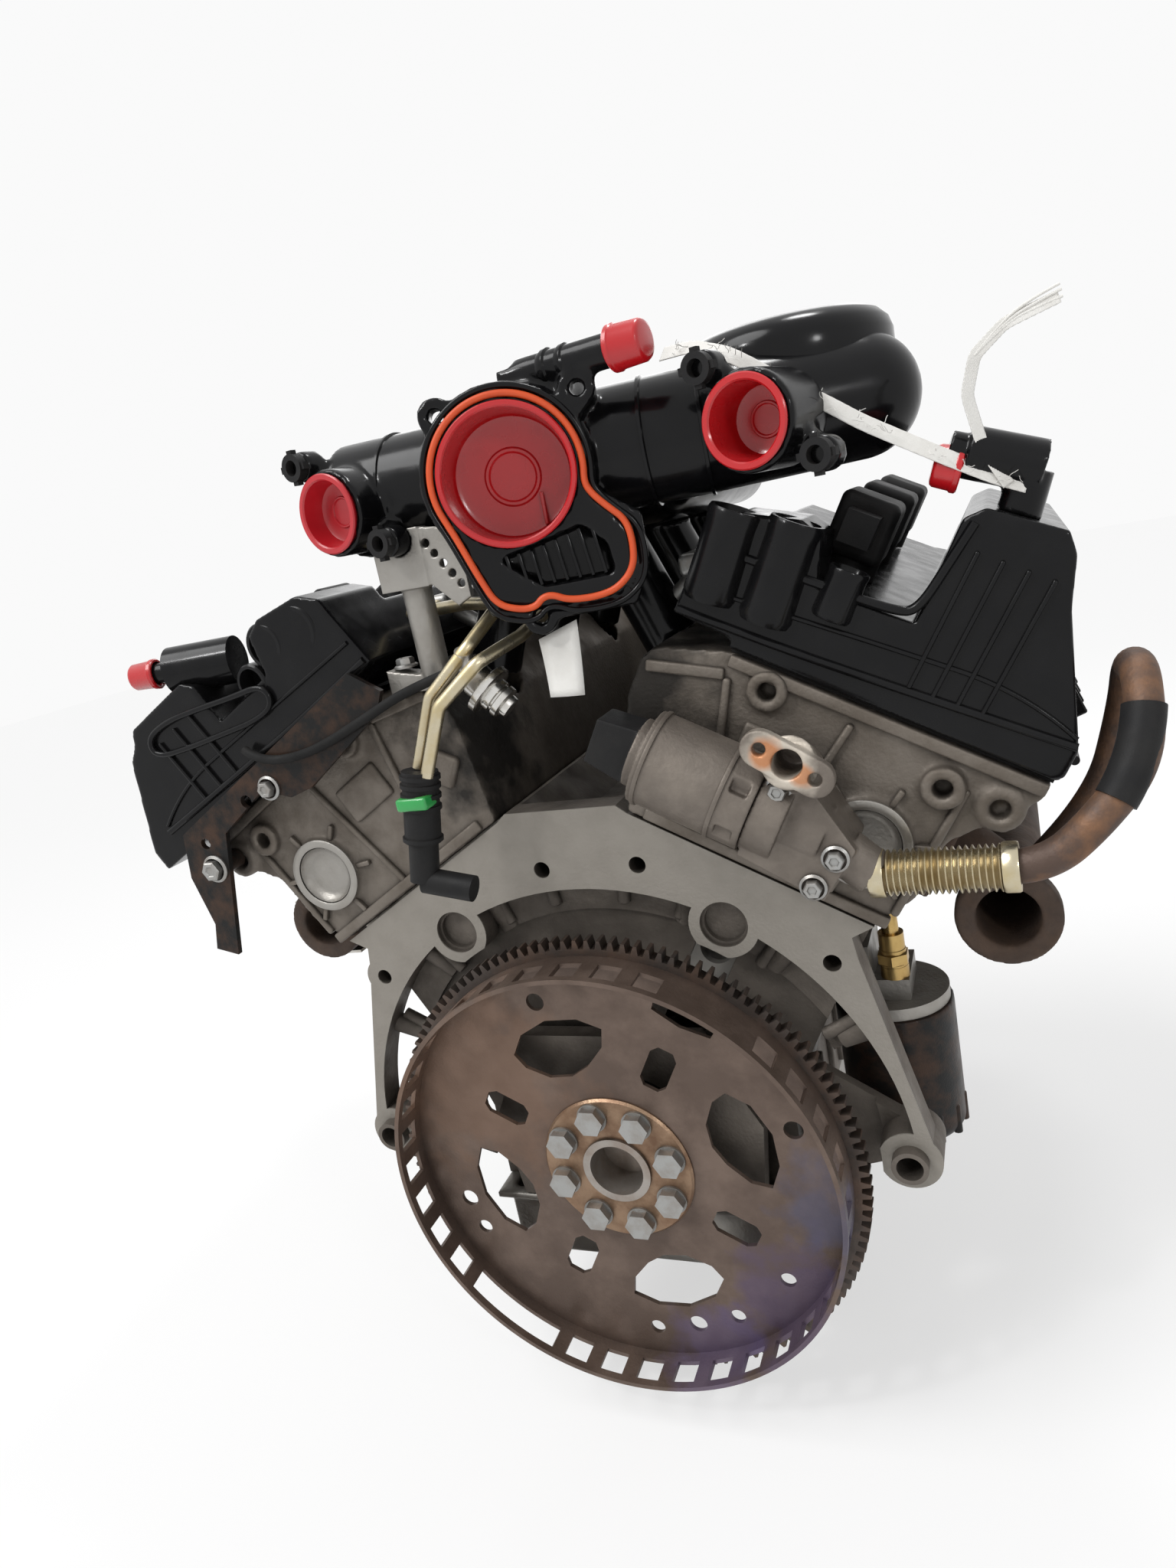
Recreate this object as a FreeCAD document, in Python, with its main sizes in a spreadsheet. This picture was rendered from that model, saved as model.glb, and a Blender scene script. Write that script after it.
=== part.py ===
import FreeCAD, Part
import math
import os
import re
import Sketcher

V = FreeCAD.Vector

# A six-cylinder 60 degree V engine as a parametric assembly, in millimetres.
# +Z is up, the crank axis lies along Y and the flexplate end faces -Y.  The origin is on the
# crank axis in the machined bell-housing face at the rear of the block.

SIZES = {
    # block, banks and cylinders
    "bank_angle": 30, "deck_height": 228, "block_front": 375, "band_depth": 20,
    "deck_outer": 78, "deck_inner": 80, "bore_radius": 48, "cylinder_pitch": 106,
    "first_cylinder": 71, "bank_stagger": 26, "pan_rail_drop": 45, "skirt_half": 112,
    "wall": 7, "bell_radius": 190, "wall_top": 243, "tunnel_radius": 36,
    "crankcase_radius": 86, "bell_bolt_radius": 5.5, "dowel_radius": 8, "dowel_reach": 185,
    # crank train
    "main_radius": 32, "main_width": 26, "web_width": 16, "pin_radius": 24, "pin_width": 22,
    "flying_web": 4, "crank_throw": 40, "counterweight_radius": 78, "first_main": 18,
    "rod_length": 152, "rod_thick": 21, "piston_height": 30, "piston_skirt": 22,
    "wrist_radius": 11, "fit": 0.3, "running_fit": 0.05,
    # flexplate
    "plate_rear": 20, "plate_thick": 3, "rim_radius": 152, "rim_wall": 3, "rim_edge": 49.5,
    "rim_back": 10, "gear_radius": 162.2, "gear_root": 156.5, "gear_teeth": 126,
    "gear_front": 17, "gear_width": 10, "hub_radius": 52, "crank_flange": 44, "hub_ring_thick": 2.5,
    "spigot_radius": 23.5, "spigot_end": 24.5, "pilot_radius": 18.5, "pilot_depth": 24.5,
    "plate_bolt_circle": 40, "plate_bolt_radius": 5, "converter_radius": 126,
    "converter_hole": 6.2, "window_pitch": 10, "window_height": 17,
    # heads
    "gasket_thick": 1.5, "head_top": 345, "head_rear": 0, "head_length": 372,
    "rail_outer": 125, "rail_inner": 56, "intake_reach": 104, "cam_across": 34,
    "cam_height": 322, "journal_radius": 15, "lobe_radius": 20, "well_radius": 12.5,
    "well_across": 20, "port_radius": 16,
    # covers
    "cover_gasket": 2, "cover_wall": 3, "cover_reach": 94, "cover_skirt": 128,
    "cover_top": 460, "cover_top_left": 434, "cover_saddle": 394, "cover_hump": 424, "cover_rear_right": 4,
    "cover_rear_left": 20,
    # intake
    "throttle_across": 28, "throttle_height": 442, "throttle_bore": 36.5, "throttle_face": 37,
    "throttle_yaw": 18.6, "flange_thick": 11, "duct_radius": 34, "duct_height": 446,
    "port_left_across": 90, "port_right_across": 157, "vent_height": 442.5, "vent_face": 32,
    "vent_bore": 21, "vent_yaw": 14, "runner_radius": 18, "plenum_half": 92,
    "plenum_bottom": 400, "plenum_top": 476, "plenum_rear": 70, "plenum_front": 345,
    # front end
    "cover_front": 428, "sprocket_start": 384, "sprocket_width": 16, "crank_sprocket": 26,
    "damper_radius": 78, "damper_start": 436, "damper_width": 34, "belt_gap": 0.4,
    "belt_thick": 4, "pump_across": 62, "pump_height": 128, "pump_pulley": 44,
    # sump
    "sump_bottom": 185, "sump_rear": 120, "sump_front": 345, "sump_half": 92,
    "shallow_drop": 96, "pan_wall": 3,
}

doc = FreeCAD.newDocument("engine")
sheet = doc.addObject("Spreadsheet::Sheet", "sizes")
for row, (word, number) in enumerate(SIZES.items(), start=1):
    sheet.set(f"A{row}", word)
    sheet.set(f"B{row}", str(number))
    sheet.setAlias(f"B{row}", word)
doc.recompute()


class Dimensions:
    """Reads one size from the sheet by its alias."""

    def __getattr__(self, word):
        return float(sheet.get(word))


d = Dimensions()
pieces = []


# ---- helpers: bound PartDesign bodies ------------------------------------------------------

def link(text):
    """An expression with each alias written as a reference to the sheet."""
    return re.sub(r"[a-z_]+", lambda m: "sizes." + m[0] if m[0] in SIZES else m[0], str(text))


def number(text):
    return float(sheet.evalExpression(link(text)))


def bind(thing, path, text):
    thing.setExpression(path, link(text))


def body(label, node=True):
    """An empty PartDesign body; as a node it is written out under that name."""
    made = doc.addObject("PartDesign::Body", label)
    made.Label = label
    if node:
        pieces.append(made)
    return made


def sketch(owner, plane, offset="0"):
    """A sketch on one of the body's own origin planes, moved along the plane's normal."""
    made = owner.newObject("Sketcher::SketchObject", owner.Label + "_sketch")
    face = [item for item in owner.Origin.OriginFeatures if item.Role == plane][0]
    made.AttachmentSupport = [(face, "")]
    made.MapMode = "FlatFace"
    bind(made, "AttachmentOffset.Base.z", offset)
    return made


def hold(drawing, kind, item, point, text):
    """Fix one coordinate of a sketch point to an expression."""
    index = drawing.addConstraint(Sketcher.Constraint(kind, -1, 1, item, point, number(text)))
    bind(drawing, f"Constraints[{index}]", text)


def polygon(drawing, corners):
    first = drawing.GeometryCount
    spots = [V(number(across), number(up), 0) for across, up in corners]
    count = len(corners)
    for i in range(count):
        drawing.addGeometry(Part.LineSegment(spots[i], spots[(i + 1) % count]))
    for i in range(count):
        follower = first + (i + 1) % count
        drawing.addConstraint(Sketcher.Constraint("Coincident", first + i, 2, follower, 1))
    for i, (across, up) in enumerate(corners):
        hold(drawing, "DistanceX", first + i, 1, across)
        hold(drawing, "DistanceY", first + i, 1, up)


def circle(drawing, across, up, radius):
    spot = V(number(across), number(up), 0)
    item = drawing.addGeometry(Part.Circle(spot, V(0, 0, 1), number(radius)))
    index = drawing.addConstraint(Sketcher.Constraint("Radius", item, number(radius)))
    bind(drawing, f"Constraints[{index}]", radius)
    hold(drawing, "DistanceX", item, 3, across)
    hold(drawing, "DistanceY", item, 3, up)


def feature(owner, kind, drawing, length=None, reverse=False):
    """A pad, pocket or revolution of a sketch; lengths run towards +Y unless reversed."""
    made = owner.newObject("PartDesign::" + kind, owner.Label + "_" + kind.lower())
    made.Profile = drawing
    if length is None:
        made.ReferenceAxis = (drawing, ["H_Axis"])
        made.Angle = 360
    else:
        bind(made, "Length", length)
        made.Reversed = reverse
    return made


def turned(label, profile, node=True):
    """A body turned about Y from (station, radius) corners."""
    made = body(label, node)
    drawing = sketch(made, "YZ_Plane")
    polygon(drawing, profile)
    feature(made, "Revolution", drawing)
    return made


def place(piece, base, axis=(0, 0, 1), angle="0"):
    """Put a piece at (x, y, z) expressions, turned about an axis by an angle expression."""
    piece.Placement = FreeCAD.Placement(V(), FreeCAD.Rotation(V(*axis), number(angle) or 1))
    for name, text in zip("xyz", base):
        bind(piece, "Placement.Base." + name, text)
    bind(piece, "Placement.Rotation.Angle", angle)


# ---- helpers: shapes computed from the sheet ------------------------------------------------

def solid(label, shape, placement=None):
    """A Part feature that becomes the node of that name."""
    made = doc.addObject("Part::Feature", label)
    made.Label = label
    made.Shape = shape
    if placement:
        made.Placement = placement
    pieces.append(made)
    return made


def bank(side):
    """Leans an upright bank frame over the crank: side 1 is the right bank, -1 the left."""
    return FreeCAD.Placement(V(), FreeCAD.Rotation(V(0, side, 0), d.bank_angle))


def across_bank(side, across, height):
    """The (x, z) of a point given across and above the crank in a bank's own frame."""
    lean = math.radians(d.bank_angle)
    outward = across * math.cos(lean) + height * math.sin(lean)
    return side * outward, height * math.cos(lean) - across * math.sin(lean)


def slab(corners, start, end):
    """A prism along Y between two stations from (x, z) corners."""
    wire = Part.makePolygon([V(x, start, z) for x, z in list(corners) + [corners[0]]])
    return Part.Face(wire).extrude(V(0, end - start, 0))


def bar(start, end, radius):
    """A round bar between two points."""
    start, end = V(*start), V(*end)
    return Part.makeCylinder(radius, (end - start).Length, start, end - start)


def disc(x, z, radius, start, end):
    return Part.makeCylinder(radius, end - start, V(x, start, z), V(0, 1, 0))


def block_of(x, y, z):
    """A box from three (low, high) pairs."""
    return Part.makeBox(x[1] - x[0], y[1] - y[0], z[1] - z[0], V(x[0], y[0], z[0]))


def joined(shapes):
    return shapes[0].multiFuse(shapes[1:]).removeSplitter() if len(shapes) > 1 else shapes[0]


def bored(shape, cutters):
    """Cuts the cutters one after another."""
    for cutter in cutters:
        shape = shape.cut(cutter)
    return shape


def hexagon(centre, axis, across_flats, height):
    """A hexagonal prism on a centre along an axis."""
    radius = across_flats / math.sqrt(3)
    points = [V(radius * math.cos(k * math.pi / 3), radius * math.sin(k * math.pi / 3), 0)
              for k in range(7)]
    shape = Part.Face(Part.makePolygon(points)).extrude(V(0, 0, height))
    shape.Placement = FreeCAD.Placement(V(*centre), FreeCAD.Rotation(V(0, 0, 1), V(*axis)))
    return shape


def bent_pipe(points, radius, bend, inner=0):
    """A round pipe through points with tangent arcs of one bend radius."""
    corners = [V(*point) for point in points]
    edges, here = [], corners[0]
    for before, corner, after in zip(corners, corners[1:], corners[2:]):
        back = (before - corner).normalize()
        ahead = (after - corner).normalize()
        half = back.getAngle(ahead) / 2
        reach = bend / math.tan(half)
        enter, leave = corner + back * reach, corner + ahead * reach
        middle = corner + (back + ahead).normalize() * (bend / math.sin(half) - bend)
        if (enter - here).Length > 0.01:
            edges.append(Part.LineSegment(here, enter).toShape())
        edges.append(Part.Arc(enter, middle, leave).toShape())
        here = leave
    edges.append(Part.LineSegment(here, corners[-1]).toShape())
    path = Part.Wire(edges)
    start = corners[1] - corners[0]

    def sweep(size):
        ring = Part.Wire(Part.makeCircle(size, corners[0], start))
        return path.makePipeShell([ring], True, False)

    outer = sweep(radius)
    return outer.cut(sweep(inner)) if inner else outer


def cylinder_station(side, index):
    """Station of a cylinder's axis along the crank."""
    stagger = d.bank_stagger if side < 0 else 0
    return d.first_cylinder + stagger + index * d.cylinder_pitch


BANKS = {"left": -1, "right": 1}
CYLINDERS = [(side, index) for side in (1, -1) for index in range(3)]

# ---- engine block ---------------------------------------------------------------------------
# Aluminium-coloured iron casting: two leaning decks, a crankcase with four bulkheads and an
# arched bell-housing band with a strut and a hollow dowel boss at each side.

deck_out = across_bank(1, d.deck_outer, d.deck_height)
deck_low = across_bank(1, d.deck_outer, d.deck_height - 28)
deck_in = across_bank(1, -d.deck_inner, d.deck_height)
half = [(d.skirt_half, -d.pan_rail_drop), (d.skirt_half, 12), (d.skirt_half + 16, 60), deck_low,
        deck_out, deck_in, (22, d.wall_top - 30)]
mirrored = [(-x, z) for x, z in reversed(half)]
casting = slab(half + mirrored, d.band_depth, d.block_front)

boss_spots = [(-20, 204), (45, 204), (154.8, 136), (-160, 130)]
strut = [(d.dowel_reach + 18, 0), (d.dowel_reach - 15, 138), (168, 152), deck_out]
crown = [deck_in, (38, d.wall_top)]
half_band = strut + crown
band = slab(half_band + [(-x, z) for x, z in reversed(half_band)], 0, d.band_depth)
band = band.cut(disc(0, 0, d.bell_radius, -1, d.band_depth + 1))
band = band.cut(block_of((-250, 250), (-1, d.band_depth + 1), (-60, 0)))
bosses = [disc(x, z, 14, 0, d.band_depth) for x, z in boss_spots]
bosses += [disc(side * 93, 162.5, 22, 0, d.band_depth + 2) for side in (1, -1)]
bosses += [disc(side * d.dowel_reach, 3, 19, 0, d.band_depth + 12) for side in (1, -1)]
ribs = []
for side in (1, -1):
    for reach, height in ((60, 150), (110, 120), (140, 70)):
        ribs.append(bar((side * reach, d.band_depth + 4, height),
                        (side * reach * 1.24, d.band_depth - 4, height * 1.24), 7))
    ribs.append(slab([(side * 120, -30), (side * d.dowel_reach, -10),
                      (side * (d.dowel_reach + 8), 12), (side * (d.skirt_half + 11), 58)],
                     d.band_depth, d.band_depth + 12))
engine_block = joined([casting, band] + bosses + ribs)
tunnel = disc(0, 0, d.tunnel_radius, -5, d.block_front + 5)
cavities = [tunnel, disc(0, 0, d.bell_radius - 22, -30, d.band_depth + 5)]
throw_length = d.cylinder_pitch - d.main_width
for index in range(3):
    start = d.first_main + d.main_width + index * d.cylinder_pitch
    cavities.append(disc(0, 0, d.crankcase_radius, start, start + throw_length))
    cavities.append(block_of((-d.crankcase_radius, d.crankcase_radius), (start, start + throw_length),
                             (-d.pan_rail_drop - 1, 0)))
for station in range(4):
    centre = d.first_main + d.main_width / 2 + station * d.cylinder_pitch
    width = d.main_width / 2 + 1
    cavities.append(block_of((-58, 58), (centre - width, centre + width), (-d.pan_rail_drop - 1, 0)))
for side, index in CYLINDERS:
    bore = Part.makeCylinder(d.bore_radius, d.deck_height + 5 - 60, V(0, 0, 60))
    bore.Placement = FreeCAD.Placement(V(0, cylinder_station(side, index), 0),
                                       FreeCAD.Rotation(V(0, side, 0), d.bank_angle))
    cavities.append(bore)
for x, z in boss_spots:
    cavities.append(disc(x, z, d.bell_bolt_radius, -1, d.band_depth + 8))
for side in (1, -1):
    cavities.append(disc(side * 93, 162.5, 15, -1, 12))
    cavities.append(disc(side * d.dowel_reach, 3, d.dowel_radius + 3, -1, d.band_depth + 15))
engine_block = engine_block.cut(cavities[0].multiFuse(cavities[1:]))
solid("engine_block", engine_block)

# ---- hollow dowels and core plugs -------------------------------------------------------------
dowels = []
for side in (1, -1):
    sleeve = disc(side * d.dowel_reach, 3, d.dowel_radius + 3, -8, d.band_depth)
    dowels.append(sleeve.cut(disc(side * d.dowel_reach, 3, d.dowel_radius, -9, d.band_depth + 1)))
plugs = [disc(side * 93, 162.5, 15, 8, 10).fuse(
    disc(side * 93, 162.5, 15, 4, 10).cut(disc(side * 93, 162.5, 13, 3, 11)))
    for side in (1, -1)]
solid("dowels_and_plugs", Part.makeCompound(dowels + plugs))

# ---- main bearing caps and shells -------------------------------------------------------------
caps, shells = [], []
for station in range(4):
    low = d.first_main + station * d.cylinder_pitch
    high = low + d.main_width
    cap = block_of((-57.5, 57.5), (low, high), (-d.tunnel_radius - 16, -0.2))
    caps.append(cap.cut(disc(0, 0, d.tunnel_radius, low - 1, high + 1)))
    ring = disc(0, 0, d.tunnel_radius, low, high)
    shells.append(ring.cut(disc(0, 0, d.main_radius + d.running_fit, low - 1, high + 1)))
solid("main_bearings", Part.makeCompound(caps + shells))

# ---- crankshaft ---------------------------------------------------------------------------------
# Each throw is two webs, a pin for the right bank, a thin flying web and a pin for the left bank.

def pin_angle(side, index):
    """Direction of a crankpin, in degrees from +Z towards +X, for even firing."""
    lead = d.bank_angle if side > 0 else -d.bank_angle
    return 120 * index + 75 + lead


def at_angle(angle, reach):
    turn = math.radians(angle)
    return reach * math.sin(turn), reach * math.cos(turn)


shaft = [disc(0, 0, d.main_radius, d.first_main, d.first_main + d.main_width)]
shaft.append(disc(0, 0, d.crank_flange, -d.plate_rear + d.plate_thick, d.first_main))
shaft.append(disc(0, 0, d.spigot_radius, -d.spigot_end, 0))
for index in range(3):
    start = d.first_main + d.main_width + index * d.cylinder_pitch
    pins = start + d.web_width
    split = pins + d.pin_width
    second = split + d.flying_web
    end = second + d.pin_width + d.web_width
    right, left = (at_angle(pin_angle(side, index), d.crank_throw) for side in (1, -1))
    heavy = at_angle(pin_angle(1, index) + 180 - d.bank_angle, 26)
    for (x, z), low in ((right, start), (left, end - d.web_width)):
        high = low + d.web_width
        web = disc(x, z, d.pin_radius + 6, low, high).fuse(disc(0, 0, d.main_radius + 6, low, high))
        weight = disc(heavy[0], heavy[1], d.counterweight_radius - 26, low, high)
        shaft += [web, weight]
    shaft.append(disc(*right, d.pin_radius, pins, split))
    shaft.append(disc(*left, d.pin_radius, second, second + d.pin_width))
    shaft.append(disc(*right, d.pin_radius + 4, split, second))
    shaft.append(disc(*left, d.pin_radius + 4, split, second))
    shaft.append(disc(0, 0, d.main_radius, end, end + d.main_width))
snout_start = d.first_main + 4 * d.main_width + 3 * throw_length
nose = d.damper_start + d.damper_width - 8
shaft.append(disc(0, 0, 18, snout_start, nose))
crankshaft = joined(shaft)
crankshaft = crankshaft.cut(disc(0, 0, d.pilot_radius, -d.spigot_end - 1, d.pilot_depth - d.spigot_end))
for k in range(8):
    x, z = at_angle(45 * k - 15, d.plate_bolt_circle)
    crankshaft = crankshaft.cut(disc(x, z, d.plate_bolt_radius, -30, 2))
crankshaft = crankshaft.cut(disc(0, 0, 6, nose - 40, nose + 1))
solid("crankshaft", crankshaft)

# ---- flexplate ------------------------------------------------------------------------------------
flexplate = turned("flexplate_disc", [
    ("-plate_rear", "spigot_radius + running_fit"), ("-plate_rear", "rim_radius - rim_wall"),
    ("-rim_edge", "rim_radius - rim_wall"), ("-rim_edge", "rim_radius"),
    ("-rim_back", "rim_radius"), ("-rim_back", "rim_radius - rim_wall"),
    ("plate_thick - plate_rear", "rim_radius - rim_wall"),
    ("plate_thick - plate_rear", "spigot_radius + running_fit")], node=False)
through = "plate_thick + 2"
front = "1 - plate_rear + plate_thick"


def around(reach, angle):
    """Expressions of a point at a reach and an angle from +Z towards +X."""
    return f"({reach}) * sin({angle})", f"({reach}) * cos({angle})"


def pocket_round(points):
    drawing = sketch(flexplate, "XZ_Plane", f"-({front})")
    for across, up, radius in points:
        circle(drawing, across, up, radius)
    feature(flexplate, "Pocket", drawing, through, reverse=True)


bolt_spots = [around("plate_bolt_circle", 45 * k - 15) for k in range(8)]
WINDOW_TURN = (-16, 74, 164, 254)
converter_spots = [around("converter_radius", angle) for angle in WINDOW_TURN]
spare_spots = [around("converter_radius + 2", angle) for angle in (127, 150, 178, 243)]
pocket_round([(x, z, "plate_bolt_radius + 0.4") for x, z in bolt_spots]
             + [(x, z, "converter_hole") for x, z in converter_spots]
             + [(x, z, "converter_hole - 1") for x, z in spare_spots])


def pocket_outline(corner_sets):
    drawing = sketch(flexplate, "XZ_Plane", f"-({front})")
    for corners in corner_sets:
        polygon(drawing, corners)
    feature(flexplate, "Pocket", drawing, through, reverse=True)


lobes = [(-30, 84), (-34, 95), (-22, 107), (0, 112), (22, 107), (36, 96), (30, 84), (14, 74), (0, 70),
         (-16, 73)]
slot = [(-9, 74), (-5, 69), (5, 69), (9, 74), (9, 95), (5, 100), (-5, 100), (-9, 95)]
edge_slot = [(-20, 123), (0, 120), (20, 123), (21, 131), (0, 134), (-21, 131)]


def turned_corners(corners, angle):
    """Expressions of (sideways, outward) corners carried round the crank axis."""
    return [(f"{out} * sin({angle}) + ({side}) * cos({angle})",
             f"{out} * cos({angle}) - ({side}) * sin({angle})") for side, out in corners]


pocket_outline([turned_corners(lobes, angle) for angle in WINDOW_TURN])
pocket_outline([turned_corners(slot, angle + 45) for angle in WINDOW_TURN]
               + [turned_corners(edge_slot, 30)])

solid_rim = {3, 4}
long_window = (21, 22, 23)


def rim_window(angle, spread):
    """A box that cuts one window through the rim."""
    wide = 2 * d.rim_radius * math.sin(math.radians(spread / 2))
    low = -d.rim_edge + 5
    cutter = block_of((-wide / 2, wide / 2), (low, low + d.window_height),
                      (d.rim_radius - 14, d.rim_radius + 10))
    cutter.rotate(V(), V(0, 1, 0), angle)
    return cutter


cutters = []
for k in range(36):
    if k in solid_rim or k in long_window:
        continue
    cutters.append(rim_window(d.window_pitch * k, 6))
cutters.append(rim_window(d.window_pitch * long_window[1], 2.6 * d.window_pitch))
windows = doc.addObject("Part::Feature", "rim_windows")
windows.Shape = Part.makeCompound(cutters)
windowed = doc.addObject("Part::Cut", "flexplate")
windowed.Label = "flexplate"
windowed.Base = flexplate
windowed.Tool = windows
pieces.append(windowed)

# ---- ring gear, hub ring and flexplate bolts ----------------------------------------------------
tooth_points = []
teeth = int(d.gear_teeth)
for k in range(teeth):
    for share, reach in ((-0.30, d.gear_root), (-0.14, d.gear_radius), (0.14, d.gear_radius),
                         (0.30, d.gear_root)):
        tooth_points.append(at_angle(360 * (k + share) / teeth, reach))
gear = slab(tooth_points, -d.gear_front, d.gear_width - d.gear_front)
solid("ring_gear", gear.cut(disc(0, 0, d.rim_radius, -30, 30)))

hub_ring = turned("hub_ring", [
    ("-plate_rear - hub_ring_thick", "spigot_radius + running_fit"),
    ("-plate_rear - hub_ring_thick", "hub_radius - 1.5"),
    ("-plate_rear - hub_ring_thick + 1.5", "hub_radius"), ("-plate_rear", "hub_radius"),
    ("-plate_rear", "spigot_radius + running_fit")])
ring_holes = sketch(hub_ring, "XZ_Plane", "plate_rear + hub_ring_thick + 1")
for x, z in bolt_spots:
    circle(ring_holes, x, z, "plate_bolt_radius + 0.4")
feature(hub_ring, "Pocket", ring_holes, "hub_ring_thick + 2", reverse=False)

head_seat = -d.plate_rear - d.hub_ring_thick
flex_bolts = []
for k in range(8):
    x, z = at_angle(45 * k - 15, d.plate_bolt_circle)
    head = hexagon((x, head_seat, z), (0, -1, 0), 17, 8)
    flange = disc(x, z, 10.2, head_seat - 1.6, head_seat)
    flex_bolts.append(joined([head, flange, disc(x, z, d.plate_bolt_radius - 0.1, head_seat, -2)]))
solid("flexplate_bolts", Part.makeCompound(flex_bolts))

# ---- rear seal housing and seal -----------------------------------------------------------------
housing = slab([(-88, -44), (88, -44), (96, 20), (62, 84), (-62, 84), (-96, 20)], 2, d.first_main - 3)
housing = housing.cut(disc(0, 0, d.hub_radius + 4, 0, d.band_depth))
solid("rear_seal_housing", housing)
seal = disc(0, 0, d.hub_radius + 4, 3, d.first_main - 4)
rear_seal = seal.cut(disc(0, 0, d.crank_flange + d.running_fit, 0, d.band_depth))

# ---- cylinder heads -----------------------------------------------------------------------------
# Each head is a casting with a rocker tub on top, slanted intake faces towards the valley, round
# exhaust ports outside and four cam towers.  Upright bank frame: x outward, z above the crank.
head_low = d.deck_height + d.gasket_thick
tub_floor = head_low + 58
tub_inner, tub_outer = d.rail_inner - 8, d.rail_outer - 9
PORT_TILT = math.radians(39)


# rear face bosses: across, height, radius, how far proud
REAR_BOSSES = [(-29, 333, 11.5, 7), (77, 321, 12, 7), (53, 274, 26, 5), (108, 322, 13, 4)]


def head_casting(side):
    rear, front = d.head_rear, d.head_rear + d.head_length
    outline = [(-d.deck_inner, head_low), (d.deck_outer, head_low), (d.deck_outer + 13, head_low + 24),
               (d.deck_outer + 14, head_low + 62), (d.rail_outer, d.head_top - 10),
               (d.rail_outer, d.head_top), (-d.rail_inner, d.head_top),
               (-d.intake_reach + 6, d.head_top - 14), (-d.intake_reach, d.head_top - 24),
               (-d.intake_reach, head_low + 66)]
    shape = slab([(side * x, z) for x, z in outline], rear, front)
    tub = block_of(sorted((-side * tub_inner, side * tub_outer)), (rear + 9, front - 9),
                   (tub_floor, d.head_top + 1))
    shape = shape.cut(tub)
    towers = []
    for station in range(4):
        middle = d.first_main + d.main_width / 2 + station * d.cylinder_pitch
        middle += d.bank_stagger if side < 0 else 0
        middle = min(max(middle, rear + 17), front - 17)
        low = d.cam_across - 24
        towers.append(block_of(sorted((side * low, side * (low + 48))), (middle - 8, middle + 8),
                               (tub_floor - 1, d.cam_height + 2)))
    bosses = [disc(side * x, z, radius, rear - proud, rear + 9) for x, z, radius, proud in REAR_BOSSES]
    shape = joined([shape] + towers + [boss.cut(tub) for boss in bosses])
    cuts = [disc(side * d.cam_across, d.cam_height, d.journal_radius + d.running_fit, rear + 4,
                 front + 5)]
    for index in range(3):
        y = cylinder_station(side, index)
        chamber = Part.makeCone(d.bore_radius - 4, d.bore_radius - 16, 11, V(0, y, head_low - 0.5))
        cuts.append(chamber)
        cuts.append(bar((-side * 20, y, head_low + 18), (-side * 130, y, head_low + 18 + 110
                        * math.tan(PORT_TILT)), d.port_radius))
        cuts.append(bar((side * 20, y, head_low + 22), (side * 130, y, head_low + 46), d.port_radius))
        cuts.append(Part.makeCylinder(8, 80, V(-side * d.well_across, y, head_low)))
        cuts.append(Part.makeCylinder(d.well_radius, 40, V(-side * d.well_across, y, head_low + 32)))
        for valve in VALVES:
            cuts.append(bar(*valve_line(side, y, valve, 8, 112), 3.6))
            cuts.append(bar(*valve_line(side, y, valve, 0, 16), valve[3] + 1.5))
    return bored(shape, cuts)


# valve: seat across, tip across, offset along the crank, head radius
VALVES = [(-19, -38, -21, 17), (21, 82, 15, 15)]


def valve_line(side, station, valve, low, high):
    """Points on a valve's axis at two distances above the seat plane."""
    lean = math.atan2(valve[1] - valve[0], 104)
    spots = []
    for reach in (low, high):
        spots.append((side * (valve[0] + reach * math.sin(lean)), station + valve[2],
                      head_low + reach * math.cos(lean)))
    return spots


head_gaskets = []
for name, side in BANKS.items():
    shape = head_casting(side)
    rear = d.head_rear
    for across, height, _, proud in (REAR_BOSSES[0], REAR_BOSSES[1], REAR_BOSSES[3]):
        shape = shape.cut(disc(side * across, height, 5.5, rear - proud - 1, rear + 6))
    shape = shape.cut(disc(side * 53, 274, 20, rear - 6, rear + 2))
    solid(f"cylinder_head_{name}", shape, bank(side))
    gasket = slab([(-side * (d.deck_inner - 2), d.deck_height), (side * (d.deck_outer - 2), d.deck_height),
                   (side * (d.deck_outer - 2), head_low), (-side * (d.deck_inner - 2), head_low)],
                  d.band_depth + 1, d.block_front - 2)
    for index in range(3):
        gasket = gasket.cut(Part.makeCylinder(d.bore_radius + 0.5, 40,
                                              V(0, cylinder_station(side, index), d.deck_height - 20)))
    gasket.Placement = bank(side)
    head_gaskets.append(gasket)
solid("head_gaskets", Part.makeCompound(head_gaskets))

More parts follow.
